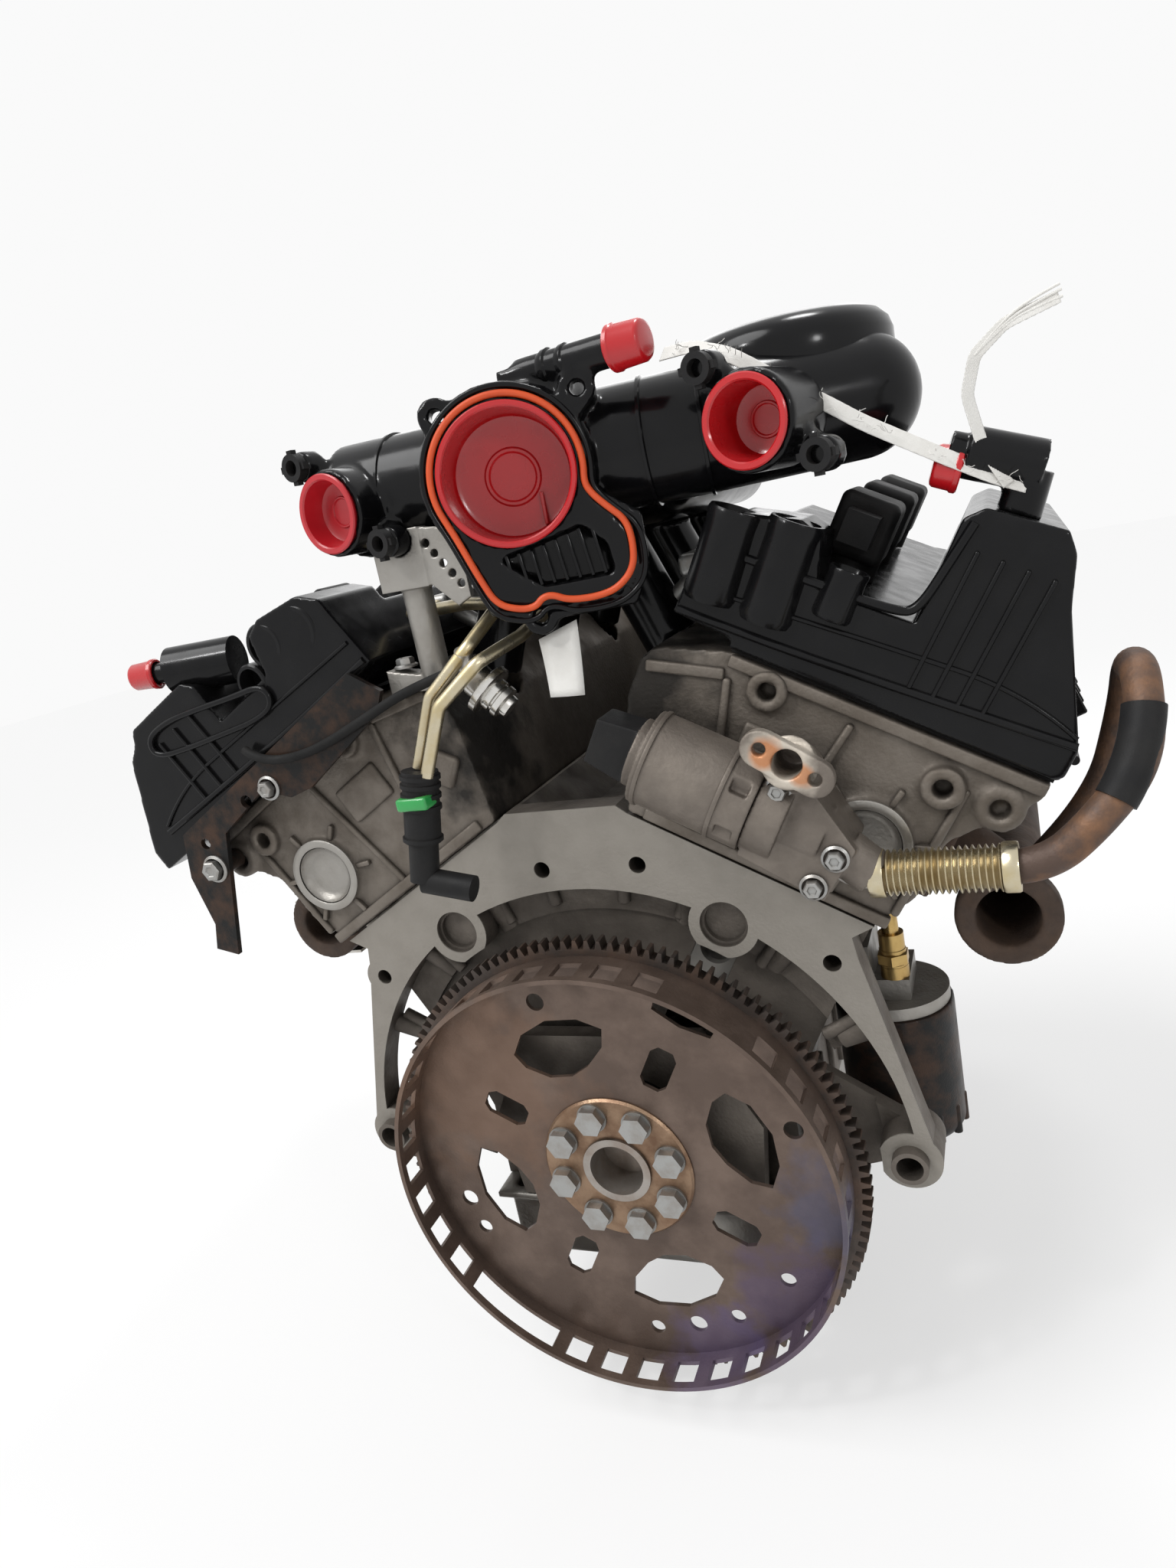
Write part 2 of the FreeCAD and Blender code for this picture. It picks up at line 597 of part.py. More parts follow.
# ---- valves, springs, rockers -----------------------------------------------------------------
valves, springs, rockers, rocker_bars = [], [], [], []
for name, side in BANKS.items():
    for index in range(3):
        y = cylinder_station(side, index)
        for valve in VALVES:
            low, high = valve_line(side, y, valve, 4, 106)
            foot, top = valve_line(side, y, valve, 2, 6)
            head = bar(foot, top, valve[3])
            parts = [head, bar(low, high, 3.3)]
            made = joined(parts)
            made.Placement = bank(side)
            valves.append(made)
            seat, cup = valve_line(side, y, valve, 78, 102)
            coil = bar(seat, cup, 9).cut(bar(seat, cup, 6.5))
            coil.Placement = bank(side)
            springs.append(coil)
            tip = valve_line(side, y, valve, 106, 113)[0]
            pivot = side * (d.cam_across + (30 if valve[0] > 0 else -30))
            arm = bar((tip[0], tip[1], tip[2] + 5), (pivot, tip[1], d.cam_height + 17), 4)
            arm = arm.fuse(disc(pivot, d.cam_height + 17, 10, tip[1] - 7, tip[1] + 7))
            arm = arm.cut(disc(pivot, d.cam_height + 17, 7, tip[1] - 9, tip[1] + 9))
            arm.Placement = bank(side)
            rockers.append(arm)
    for reach in (30, -30):
        shaft = disc(side * (d.cam_across + reach), d.cam_height + 17, 6.9, 16, d.head_length - 16)
        shaft.Placement = bank(side)
        rocker_bars.append(shaft)
solid("valves_and_springs", Part.makeCompound(valves + springs))
solid("rocker_gear", Part.makeCompound(rockers + rocker_bars))

# ---- camshafts ----------------------------------------------------------------------------------
cam_end = d.sprocket_start + d.sprocket_width + 6
cam_start = d.head_rear + 12
camshafts = {}
for name, side in BANKS.items():
    cam = [disc(side * d.cam_across, d.cam_height, d.journal_radius, cam_start, cam_end)]
    for index in range(3):
        y = cylinder_station(side, index)
        for valve, turn in zip(VALVES, (200, 90)):
            nose_across, nose_up = at_angle(turn + 120 * index, d.lobe_radius - 13)
            spot = y + valve[2]
            lobe = disc(side * d.cam_across, d.cam_height, d.journal_radius + 1, spot - 6, spot + 6)
            lobe = lobe.fuse(disc(side * d.cam_across + nose_across, d.cam_height + nose_up, 12,
                                  spot - 6, spot + 6))
            cam.append(lobe)
    camshafts[name] = joined(cam)
    camshafts[name].Placement = bank(side)

# ---- valve covers ---------------------------------------------------------------------------------
# Black moulded shells: a tray on the gasket, a hump at the rear inner corner, a saddle between and
# a tall box along the outer side.  Coil wells pass down through the saddle.
cover_low = d.head_top + d.cover_gasket
# overhang at the rear, extra reach outward, height of the box, drop of the front half
COVERS = {"right": (d.cover_rear_right, 0, d.cover_top, 32),
          "left": (d.cover_rear_left, 24, d.cover_top_left, 6)}
cover_end = d.head_length - 2
box_end = 215
FILLER = (-62, 300, d.cover_top_left - 6)
hump_end = 46


def cover_section(inset, spread, top):
    """Corners of the tray and box from the inner edge round to the outer skirt."""
    i = inset
    outer = d.cover_skirt + spread
    inner = -d.rail_inner - 2 + 3 * i
    return [(inner, cover_low - 2 * i), (inner, cover_low + 5 + i / 2),
            (-d.cover_reach + i, cover_low + 7 + i), (-d.cover_reach + 2 + i, d.cover_saddle - i),
            (28 + i, d.cover_saddle + 2 - i), (28 + i, top - 8 - i / 2), (36 + i / 2, top - i),
            (76 + spread * 0.8 - i / 2, top + 3 - i), (84 + spread * 0.8 - i, top - 6 - i / 2),
            (93 + spread * 0.9 - i, top - (30 if top > 440 else 12)), (outer - i, cover_low + 19),
            (outer - i, cover_low + 3 + i), (d.rail_outer - 2 * i, cover_low + 2 + i),
            (d.rail_outer - 2 * i, cover_low - 2 * i)]


def hump_section(inset):
    i = inset
    return [(-d.cover_reach + 2 + i, d.cover_saddle - 8), (-d.cover_reach + 2 + i, d.cover_hump - 20 - i),
            (-d.cover_reach + 14 + i, d.cover_hump - 8 - i), (-46 - i / 2, d.cover_hump - i),
            (-33 - i, d.cover_hump - 4 - i), (-22 - i, d.cover_saddle - 8)]


def sided(side, corners):
    return [(side * x, z) for x, z in corners]


cover_gaskets = []
for name, side in BANKS.items():
    overhang, spread, top, drop = COVERS[name]
    rear = d.head_rear - overhang
    w = d.cover_wall
    outer = [slab(sided(side, cover_section(0, spread, top)), rear, box_end),
             slab(sided(side, cover_section(0, spread, top - drop)), box_end - 1, cover_end),
             slab(sided(side, hump_section(0)), rear, hump_end)]
    inner = [slab(sided(side, cover_section(w, spread, top)), rear + w, box_end - w),
             slab(sided(side, cover_section(w, spread, top - drop)), rear + w, cover_end - w),
             slab(sided(side, hump_section(w)), rear + w, hump_end - w)]
    inner = joined(inner)
    step = block_of((-200, 200), (rear - 1, d.head_rear + 9), (cover_low - 20, cover_low + w))
    shell = joined(outer).cut(inner.cut(step))
    tubes, holes = [], []
    for index in range(3):
        y = cylinder_station(side, index)
        spot = V(-side * d.well_across, y, cover_low - 1)
        tubes.append(Part.makeCylinder(d.well_radius + 2.5, d.cover_saddle - cover_low + 1, spot))
        holes.append(Part.makeCylinder(d.well_radius, 80, spot - V(0, 0, 5)))
    shell = joined([shell] + tubes).cut(holes)
    if side < 0:
        shell = joined([shell, Part.makeCylinder(21, 12, V(*FILLER))])
    flange = slab(sided(side, [(d.rail_outer - 12, cover_low), (d.rail_outer + 2, cover_low),
                               (d.rail_outer + 2, cover_low + 6), (d.rail_outer - 12, cover_low + 6)]),
                  d.head_rear, cover_end)
    solid(f"valve_cover_{name}", joined([shell, flange]), bank(side))
    rim_out = slab(sided(side, [(-d.rail_inner, d.head_top), (d.rail_outer, d.head_top),
                                (d.rail_outer, cover_low), (-d.rail_inner, cover_low)]),
                   d.head_rear + 1, d.head_rear + d.head_length - 3)
    rim_in = block_of(sorted((-side * tub_inner, side * tub_outer)),
                      (d.head_rear + 9, d.head_rear + d.head_length - 9), (d.head_top - 1, cover_low + 1))
    rim = rim_out.cut(rim_in)
    rim.Placement = bank(side)
    cover_gaskets.append(rim)
solid("cover_gaskets", Part.makeCompound(cover_gaskets))

# ---- ignition coils and spark plugs -----------------------------------------------------------
coils, plugs = [], []
coil_low = d.cover_saddle + 2.5
for name, side in BANKS.items():
    for index in range(3):
        y = cylinder_station(side, index)
        x = -side * d.well_across
        stalk = Part.makeCylinder(d.well_radius - d.fit, coil_low - head_low - 62, V(x, y, head_low + 64))
        collar = Part.makeCylinder(d.well_radius + 4, 12, V(x, y, coil_low))
        cap = block_of((x - 17, x + 17), (y - 22, y + 22), (coil_low + 10, coil_low + 46))
        cap = cap.makeFillet(5, cap.Edges)
        plug_in = block_of((x - 9, x + 9), (y - 40, y - 20), (coil_low + 20, coil_low + 38))
        coil = joined([stalk, collar, cap, plug_in])
        coil = coil.cut(Part.makeCylinder(5.6, 30, V(x, y, head_low + 60)))
        coil.Placement = bank(side)
        coils.append(coil)
        shank = Part.makeCylinder(7.9, 22, V(x, y, head_low + 8))
        jacket = Part.makeCylinder(d.well_radius - 1, 10, V(x, y, head_low + 32))
        nut = hexagon((x, y, head_low + 36), (0, 0, 1), 20, 12)
        ceramic = Part.makeCylinder(5.3, 40, V(x, y, head_low + 44))
        spark = joined([shank, jacket, nut, ceramic])
        spark.Placement = bank(side)
        plugs.append(spark)
solid("ignition_coils", Part.makeCompound(coils))
solid("spark_plugs", Part.makeCompound(plugs))

# ---- intake manifold ----------------------------------------------------------------------------
# One black moulding: a throttle mouth facing rearwards, a cross duct with a vent port at each side,
# a domed resonator at the right and a plenum over the valley with six runners.


def yawed(angle):
    """Turns a rearward-facing shape about Z, positive towards +X."""
    return FreeCAD.Rotation(V(0, 0, 1), angle)


mouth = V(d.throttle_across, -d.throttle_face, d.throttle_height)
vents = {"left": (V(-d.port_left_across, -d.vent_face, d.vent_height), -d.vent_yaw, 3),
         "right": (V(d.port_right_across, -d.vent_face, d.vent_height), -d.vent_yaw, 2)}


def facing(shape, spot, yaw):
    """Carries a shape built at the origin, facing -Y, to its mouth."""
    shape.Placement = FreeCAD.Placement(spot, yawed(yaw))
    return shape


def flange_outline(grow):
    """Throttle flange seen from the rear: a round head with a foot at the lower right."""
    head = Part.Face(Part.Wire(Part.makeCircle(d.throttle_bore + grow, V(0, 0, 0), V(0, -1, 0))))
    foot = [(-d.throttle_bore + 6 - grow, -20), (-18 - grow / 2, -d.throttle_bore - 25 - grow),
            (8, -d.throttle_bore - 32 - grow), (46 + grow, -d.throttle_bore - 32 - grow),
            (56 + grow, -d.throttle_bore - 22), (56 + grow, -d.throttle_bore - 6 + grow),
            (d.throttle_bore + grow - 1, -16), (20, 0)]
    wire = Part.makePolygon([V(x, 0, z) for x, z in foot + foot[:1]])
    return head.fuse(Part.Face(wire)).removeSplitter()


def flange_plate(grow, start, end):
    shape = flange_outline(grow).copy()
    shape.translate(V(0, start, 0))
    return shape.extrude(V(0, end - start, 0))


duct_y = 12
duct_points = [(-100, 15, d.duct_height + 2), (28, duct_y, d.duct_height),
               (130, duct_y + 16, d.duct_height), (200, 66, d.duct_height + 2)]
duct = bent_pipe(duct_points, d.duct_radius, 120)
duct_core = bent_pipe(duct_points, d.duct_radius - 3, 120)
ends = [Part.makeSphere(d.duct_radius, V(*spot)) for spot in (duct_points[0], duct_points[-1])]
end_cores = [Part.makeSphere(d.duct_radius - 3, V(*duct_points[0])),
             Part.makeSphere(d.duct_radius - 3, V(*duct_points[-1]))]
throat = facing(disc(0, 0, d.throttle_bore + 8, 1, 44), mouth, d.throttle_yaw)
throat_core = facing(disc(0, 0, d.throttle_bore, -1, 44), mouth, d.throttle_yaw)
flange = facing(flange_plate(11, 0, d.flange_thick), mouth, d.throttle_yaw)
kidney = facing(slab([(-14, -d.throttle_bore - 6), (34, -d.throttle_bore + 4), (46, -d.throttle_bore - 8),
                      (48, -d.throttle_bore - 24), (8, -d.throttle_bore - 24)], -1, d.flange_thick - 3),
                mouth, d.throttle_yaw)
ears, ear_holes = [], []
for x, z in ((-31, 36), (45, 36), (3, -77)):
    ears.append(facing(disc(x, z, 10, 0, d.flange_thick + 6), mouth, d.throttle_yaw))
    ears.append(facing(slab([(x * 0.6, z * 0.6), (x, z + 9), (x + 9, z), (x * 0.8 + 9, z * 0.6)], 2,
                            d.flange_thick), mouth, d.throttle_yaw))
    ear_holes.append(facing(disc(x, z, 4.2, -2, d.flange_thick + 8), mouth, d.throttle_yaw))
stubs, stub_cores, nut_pads = [], [], []
for spot, yaw, lift in vents.values():
    stubs.append(facing(disc(0, 0, d.vent_bore + 4, 0, 44), spot, yaw))
    stub_cores.append(facing(disc(0, 0, d.vent_bore, -1, 34), spot, yaw))
    for x, z in ((-23, 30), (33, -22)):
        nut_pads.append(facing(disc(x, z, 9, 6, 20), spot, yaw))
        nut_pads.append(facing(bar((x, 13, z), (x * 0.3, 34, z * 0.3), 7), spot, yaw))
plenum = block_of((-d.plenum_half, d.plenum_half), (d.plenum_rear, d.plenum_front),
                  (d.plenum_bottom, d.plenum_top))
plenum = plenum.makeFillet(26, plenum.Edges)
plenum_core = block_of((-d.plenum_half + 4, d.plenum_half - 4), (d.plenum_rear + 4, d.plenum_front - 4),
                       (d.plenum_bottom + 4, d.plenum_top - 4))
plenum_core = plenum_core.makeFillet(22, plenum_core.Edges)
neck = bar((28, duct_y + 8, d.duct_height), (20, d.plenum_rear + 20, d.duct_height - 6), d.duct_radius - 4)
dome = Part.makeCylinder(52, 74, V(176, 78, 420))
dome = dome.makeFillet(24, [edge for edge in dome.Edges if edge.BoundBox.ZMin > 490])
dome_bridge = bar((120, 100, d.duct_height - 8), (60, 120, d.duct_height - 8), 24)
runners, runner_cores = [], []
lean = math.radians(d.bank_angle)
for side, index in CYLINDERS:
    y = cylinder_station(side, index)
    tilt = math.degrees(PORT_TILT)
    foot_across, foot_up = across_bank(side, 4 - d.intake_reach, head_low + 18
                                       + (d.intake_reach - 20) * math.tan(PORT_TILT))
    rise = d.plenum_bottom + 10 - foot_up
    drift = -side * rise * math.tan(math.radians(90 - tilt - d.bank_angle))
    top = (foot_across + drift, y, foot_up + rise)
    runners.append(bar((foot_across, y, foot_up), top, d.runner_radius))
    runner_cores.append(bar((foot_across - drift * 0.1, y, foot_up - rise * 0.1), top,
                            d.runner_radius - 3))
nipple = bar((33, -8, 492), (98, -20, 492), 9)
nipple_pad = block_of((24, 62), (-18, 20), (474, 496))
outside = joined([duct, throat, flange, plenum, neck, dome, dome_bridge, nipple, nipple_pad]
                 + ends + ears + stubs + nut_pads + runners)
inside = [duct_core, throat_core, kidney, plenum_core] + end_cores + ear_holes + stub_cores + runner_cores
inside.append(bar((28, duct_y + 8, d.duct_height), (20, d.plenum_rear + 20, d.duct_height - 6),
                  d.duct_radius - 8))
manifold = bored(outside, inside)
groove_depth = 3
groove = flange_plate(7, -1, groove_depth).cut(flange_plate(3, -2, groove_depth + 1))
manifold = manifold.cut(facing(groove, mouth, d.throttle_yaw))
manifold = bored(manifold, [doc.getObject("cylinder_head_" + name).Shape for name in BANKS])
solid("intake_manifold", max(manifold.Solids, key=lambda item: item.Volume))

# ---- intake fittings ----------------------------------------------------------------------------
bead = flange_plate(6.5, -0.4, 3).cut(flange_plate(3.5, -1, 4))
solid("throttle_gasket", facing(bead, mouth, d.throttle_yaw))


def cup(radius, deep, wall, lip):
    """A shallow moulded cup that plugs a round mouth, open to the rear, with a rim outside."""
    shape = disc(0, 0, radius, -1.5, deep).fuse(disc(0, 0, radius + lip, -2.5, -0.5))
    return shape.cut(disc(0, 0, radius - wall, -4, deep - wall))


throttle_cap = facing(cup(d.throttle_bore - d.fit, 34, 2, 1.5), mouth, d.throttle_yaw)
solid("throttle_cap", throttle_cap)
vent_caps = []
for name, (spot, yaw, lift) in vents.items():
    vent_caps.append(facing(cup(d.vent_bore - d.fit, 12 if name == "left" else 26, 1.6, 2.2), spot, yaw))
solid("vent_caps", Part.makeCompound(vent_caps))
collars = []
for spot, yaw, lift in vents.values():
    for x, z in ((-23, 30), (33, -22)):
        ring = disc(x, z, 8, 0, 5.8).cut(disc(x, z, 4.5, -1, 6))
        fins = [block_of((x - 10, x + 10), (1, 5), (z - 2, z + 2)), block_of((x - 2, x + 2), (1, 5),
                                                                            (z - 10, z + 10))]
        collar = ring.multiFuse(fins).cut(disc(x, z, 4.5, -1, 6))
        collars.append(facing(collar, spot, yaw))
solid("snap_nuts", Part.makeCompound(collars))
nipple_end, nipple_step = V(98, -20, 492), V(12, -2.215, 0)
top_cap = bar(nipple_end - nipple_step, nipple_end + nipple_step * 1.3, 11.6)
top_cap = top_cap.cut(bar(nipple_end, nipple_end - nipple_step * 2, 9.02))

# ---- support strut for the intake -------------------------------------------------------------
strut_top = 392
strut_tube = bar((-59, -6, 336), (-56, -12, strut_top), 9)
strut_lug = slab([(-90, 330), (-52, 330), (-52, 337), (-90, 345)], -13, 3)
strut_block = block_of((-72, -40), (-25, -1), (strut_top, strut_top + 34))
strut_arm = slab([(-42, strut_top + 4), (-24, strut_top - 14), (-15, strut_top - 10),
                  (-15, strut_top + 30), (-42, strut_top + 34)], -24, -20)
strut_shape = joined([strut_tube, strut_lug, strut_block, strut_arm])
for k in range(5):
    strut_shape = strut_shape.cut(disc(-37 + 4.4 * k, strut_top + 24 - 6.4 * k, 2.4, -30, -10))
head_left = doc.getObject("cylinder_head_left").Shape
cover_left = doc.getObject("valve_cover_left").Shape
intake = doc.getObject("intake_manifold").Shape
strut_shape = strut_shape.cut([head_left, cover_left, intake])
strut_shape = max(strut_shape.Solids, key=lambda item: item.Volume)
solid("intake_strut", strut_shape)

# ---- fuel rails, injectors and the rear fuel feed -----------------------------------------------
rails, injectors = [], []
rail_across, rail_low, rail_half = 94.5, 367, 7.5
for side, index in CYLINDERS:
    y = cylinder_station(side, index)
    injector = bar((side * (rail_across - 2), y, rail_low - 0.2), (side * 72, y, 352), 5.5)
    injectors.append(injector)
for side in (1, -1):
    y = cylinder_station(side, 0)
    rail = block_of(sorted((side * (rail_across - rail_half), side * (rail_across + rail_half))),
                    (y - 22, y + 2 * d.cylinder_pitch + 22), (rail_low, rail_low + 14))
    rails.append(rail.makeFillet(4, rail.Edges))
manifold_shape = doc.getObject("intake_manifold").Shape
injectors = [max(bored(item, rails + [manifold_shape]).Solids, key=lambda part: part.Volume)
             for item in injectors]
solid("fuel_rails", Part.makeCompound(rails + injectors))

# ---- EGR valve: motor, connector, body with oval outlet, pintle, bellows and pipe ---------------
# The motor lies along the right deck behind the head and its body bolts to the head's rear face.
egr_y = -32
lean_axis = (math.cos(math.radians(30)), -math.sin(math.radians(30)))


def along_egr(across, up=0.0):
    """(x, z) of a point along the motor's axis and square to it."""
    right, down = lean_axis
    return 103 + across * right - up * down, 264.5 + across * down + up * right


def egr_bar(start, end, radius):
    a, b = along_egr(start), along_egr(end)
    return bar((a[0], egr_y, a[1]), (b[0], egr_y, b[1]), radius)


motor = egr_bar(-32, 34, 27)
motor = motor.fuse(egr_bar(-38, -32, 20))
window_cut = []
for up in (10, -20):
    low, high = along_egr(22, up), along_egr(30, up + 10)
    window_cut.append(slab([along_egr(20, up), along_egr(30, up), along_egr(30, up + 10),
                            along_egr(20, up + 10)], egr_y - 30, egr_y - 20))
motor = motor.cut(window_cut)
plug_shell = slab([along_egr(-62, -13), along_egr(-38.2, -16), along_egr(-38.2, 16), along_egr(-62, 13)],
                  egr_y - 13, egr_y + 13)
plug_well = slab([along_egr(-63, -10), along_egr(-48, -10), along_egr(-48, 10), along_egr(-63, 10)],
                 egr_y - 10, egr_y + 10)
solid("egr_motor", Part.makeCompound([motor, plug_shell.cut(plug_well)]))
valve_body = joined([egr_bar(34.2, 52, 25), egr_bar(50, 74, 17),
                     slab([along_egr(36, -26), along_egr(88, -30), along_egr(92, 4), along_egr(60, 24),
                           along_egr(36, 24)], egr_y - 14, -5.3),
                     bar((158.5, egr_y - 24, 275.8), (156, egr_y + 12, 262), 14),
                     bar((176, egr_y, 218), (190, egr_y, 204), 13),
                     ])
outlet_ears = [(145.5, 285), (171.5, 266.6)]
outlet = [bar((x, egr_y - 29, z), (x, egr_y - 22, z), 10) for x, z in outlet_ears]
outlet.append(slab([(139.7, 276.8), (151.3, 293.2), (177.3, 274.8), (165.7, 258.4)], egr_y - 29, egr_y - 22))
valve_body = joined([valve_body] + outlet)
outlet_holes = [bar((x, egr_y - 40, z), (x, egr_y - 14, z), 3.6) for x, z in outlet_ears]
valve_body = valve_body.cut(outlet_holes + [bar((158.5, egr_y - 40, 275.8), (158.5, egr_y, 275.8), 8),
                                            egr_bar(30, 74, 3.6), motor,
                                            doc.getObject("cylinder_head_right").Shape])
valve_body = max(valve_body.Solids, key=lambda item: item.Volume)
solid("egr_valve_body", valve_body)
solid("egr_pintle", egr_bar(42, 68, 3.52))
bellows_start, bellows_end = V(190, egr_y, 204), V(258, egr_y - 2, 205)
bellows_parts = [bar(bellows_start, bellows_end, 9.5)]
convolutions = 13
for k in range(convolutions):
    spot = bellows_start + (bellows_end - bellows_start) * ((k + 0.5) / convolutions)
    step = (bellows_end - bellows_start) * (0.5 / convolutions / 2)
    bellows_parts.append(bar(spot - step, spot + step, 12.5))
bellows = joined(bellows_parts).cut([bar(bellows_start, bellows_end, 7.5), valve_body])
solid("egr_bellows", max(bellows.Solids, key=lambda item: item.Volume))
pipe_route = [(258.2, egr_y - 2, 205), (275, egr_y - 2.5, 205.3), (298, egr_y - 2, 226),
              (322, -22, 252), (324, -4, 290), (322, 24, 292), (320, 46, 262), (306, 60, 206),
              (264, 74, 158)]
egr_pipe = bent_pipe(pipe_route, 9, 13, 7)

# ---- oil pan ------------------------------------------------------------------------------------
rail_z = -d.pan_rail_drop
pan_out = block_of((-d.skirt_half, d.skirt_half), (2, d.block_front + 10), (rail_z - 6, rail_z))
shallow = block_of((-d.sump_half - 12, d.sump_half + 12), (8, d.block_front), (-d.shallow_drop, rail_z))
deep = block_of((-d.sump_half, d.sump_half), (d.sump_rear, d.sump_front), (-d.sump_bottom, rail_z))
deep = deep.makeFillet(12, [edge for edge in deep.Edges if edge.BoundBox.ZMax < rail_z - 1])
pan = joined([pan_out, shallow, deep])
w = d.pan_wall
deep_hollow = block_of((-d.sump_half + w, d.sump_half - w), (d.sump_rear + w, d.sump_front - w),
                       (-d.sump_bottom + w, rail_z + 1))
deep_hollow = deep_hollow.makeFillet(12 - w, [edge for edge in deep_hollow.Edges
                                              if edge.BoundBox.ZMax < rail_z])
hollow = [block_of((-d.sump_half - 12 + w, d.sump_half + 12 - w), (8 + w, d.block_front - w),
                   (-d.shallow_drop + w, rail_z + 1)), deep_hollow]
pan = bored(pan, hollow + [disc(0, 0, d.hub_radius + 4, 0, d.first_main)])
drain = bar((d.sump_half - 1, 300, -165), (d.sump_half + 4, 300, -165), 14)
pan = joined([pan, drain]).cut(bar((d.sump_half - 10, 300, -165), (d.sump_half + 6, 300, -165), 6))
drain_plug = joined([bar((d.sump_half - 2, 300, -165), (d.sump_half + 4, 300, -165), 6),
                     hexagon((d.sump_half + 4, 300, -165), (1, 0, 0), 17, 8)])
solid("oil_pan", Part.makeCompound([pan, drain_plug]))

# ---- pistons, wrist pins and connecting rods ---------------------------------------------------
pistons, wrist_pins, rods, rod_shells = [], [], [], []
for side, index in CYLINDERS:
    y = cylinder_station(side, index)
    turn = pin_angle(side, index) - side * d.bank_angle
    pin_x, pin_z = at_angle(turn, d.crank_throw)
    rise = pin_z + math.sqrt(d.rod_length ** 2 - pin_x ** 2)
    crown = Part.makeCylinder(d.bore_radius - d.fit, d.piston_height + d.piston_skirt,
                              V(0, y, rise - d.piston_skirt))
    inside = Part.makeCylinder(d.bore_radius - 6, d.piston_height + d.piston_skirt - 10,
                               V(0, y, rise - d.piston_skirt - 1))
    pads = [block_of((-d.bore_radius + 18, d.bore_radius - 18), (y + 13 * hand, y + 34 * hand)
                     if hand > 0 else (y + 34 * hand, y + 13 * hand), (rise - 16, rise + 19))
            for hand in (1, -1)]
    piston = crown.cut(inside).multiFuse(pads)
    piston = piston.cut(disc(0, rise, d.wrist_radius + 0.05, y - 60, y + 60))
    for ring in range(3):
        level = rise + d.piston_height - 7 - 5 * ring
        groove = Part.makeCylinder(d.bore_radius + 1, 1.6, V(0, y, level))
        piston = piston.cut(groove.cut(Part.makeCylinder(d.bore_radius - 3, 1.6, V(0, y, level))))
    wrist = disc(0, rise, d.wrist_radius, y - 33, y + 33).cut(disc(0, rise, 6, y - 40, y + 40))
    low, high = y - d.rod_thick / 2, y + d.rod_thick / 2
    big = disc(pin_x, pin_z, d.pin_radius + 8, low, high)
    small = disc(0, rise, d.wrist_radius + 5, low, high)
    along = V(0, 0, rise) - V(pin_x, 0, pin_z)
    across = V(along.z, 0, -along.x).normalize() * 10
    corners = [V(pin_x, 0, pin_z) + across * 1.5, V(0, 0, rise) + across, V(0, 0, rise) - across,
               V(pin_x, 0, pin_z) - across * 1.5]
    beam = slab([(point.x, point.z) for point in corners], low + 3, high - 3)
    rod = joined([big, small, beam])
    rod = rod.cut([disc(pin_x, pin_z, d.pin_radius + 2, low - 1, high + 1),
                   disc(0, rise, d.wrist_radius + 0.05, low - 1, high + 1)])
    shell = disc(pin_x, pin_z, d.pin_radius + 2, low, high)
    shell = shell.cut(disc(pin_x, pin_z, d.pin_radius + d.running_fit, low - 1, high + 1))
    for group, shape in ((pistons, piston), (wrist_pins, wrist), (rods, rod), (rod_shells, shell)):
        shape.Placement = bank(side)
        group.append(shape)
solid("pistons", Part.makeCompound(pistons + wrist_pins))
solid("connecting_rods", Part.makeCompound(rods + rod_shells))

# ---- timing drive ---------------------------------------------------------------------------------
# The belt runs over the crank sprocket and two cam sprockets of twice its size.
cam_right = across_bank(1, d.cam_across, d.cam_height)
cam_left = across_bank(-1, d.cam_across, d.cam_height)
cam_sprocket = 2 * d.crank_sprocket


def toothed(x, z, radius, teeth, start, end):
    """A sprocket with trapezoid teeth."""
    points = []
    for k in range(teeth):
        for share, reach in ((-0.3, radius - 3), (-0.2, radius), (0.2, radius), (0.3, radius - 3)):
            across, up = at_angle(360 * (k + share) / teeth, reach)
            points.append((x + across, z + up))
    return slab(points, start, end)


def belt_loop(circles):
    """Closed wire of outer tangents and arcs round circles (x, z, radius) in clockwise order."""
    tangents = []
    for (x1, z1, r1), (x2, z2, r2) in zip(circles, circles[1:] + circles[:1]):
        span = math.hypot(x2 - x1, z2 - z1)
        heading = math.atan2(z2 - z1, x2 - x1)
        swing = heading + math.acos((r1 - r2) / span)
        tangents.append((V(x1 + r1 * math.cos(swing), 0, z1 + r1 * math.sin(swing)),
                         V(x2 + r2 * math.cos(swing), 0, z2 + r2 * math.sin(swing)), swing))
    edges = []
    for k, (start, end, swing) in enumerate(tangents):
        edges.append(Part.LineSegment(start, end).toShape())
        x, z, radius = circles[(k + 1) % len(circles)]
        following = tangents[(k + 1) % len(tangents)]
        turn = following[2]
        while turn > swing:
            turn -= 2 * math.pi
        middle = (swing + turn) / 2
        through_point = V(x + radius * math.cos(middle), 0, z + radius * math.sin(middle))
        edges.append(Part.Arc(end, through_point, following[0]).toShape())
    return Part.Wire(edges)


def loop_plate(grow, start, end):
    circles = [(cam_left[0], cam_left[1], cam_sprocket + grow), (cam_right[0], cam_right[1],
                                                                cam_sprocket + grow),
               (0, 0, d.crank_sprocket + grow)]
    face = Part.Face(belt_loop(circles))
    face.translate(V(0, start, 0))
    return face.extrude(V(0, end - start, 0))


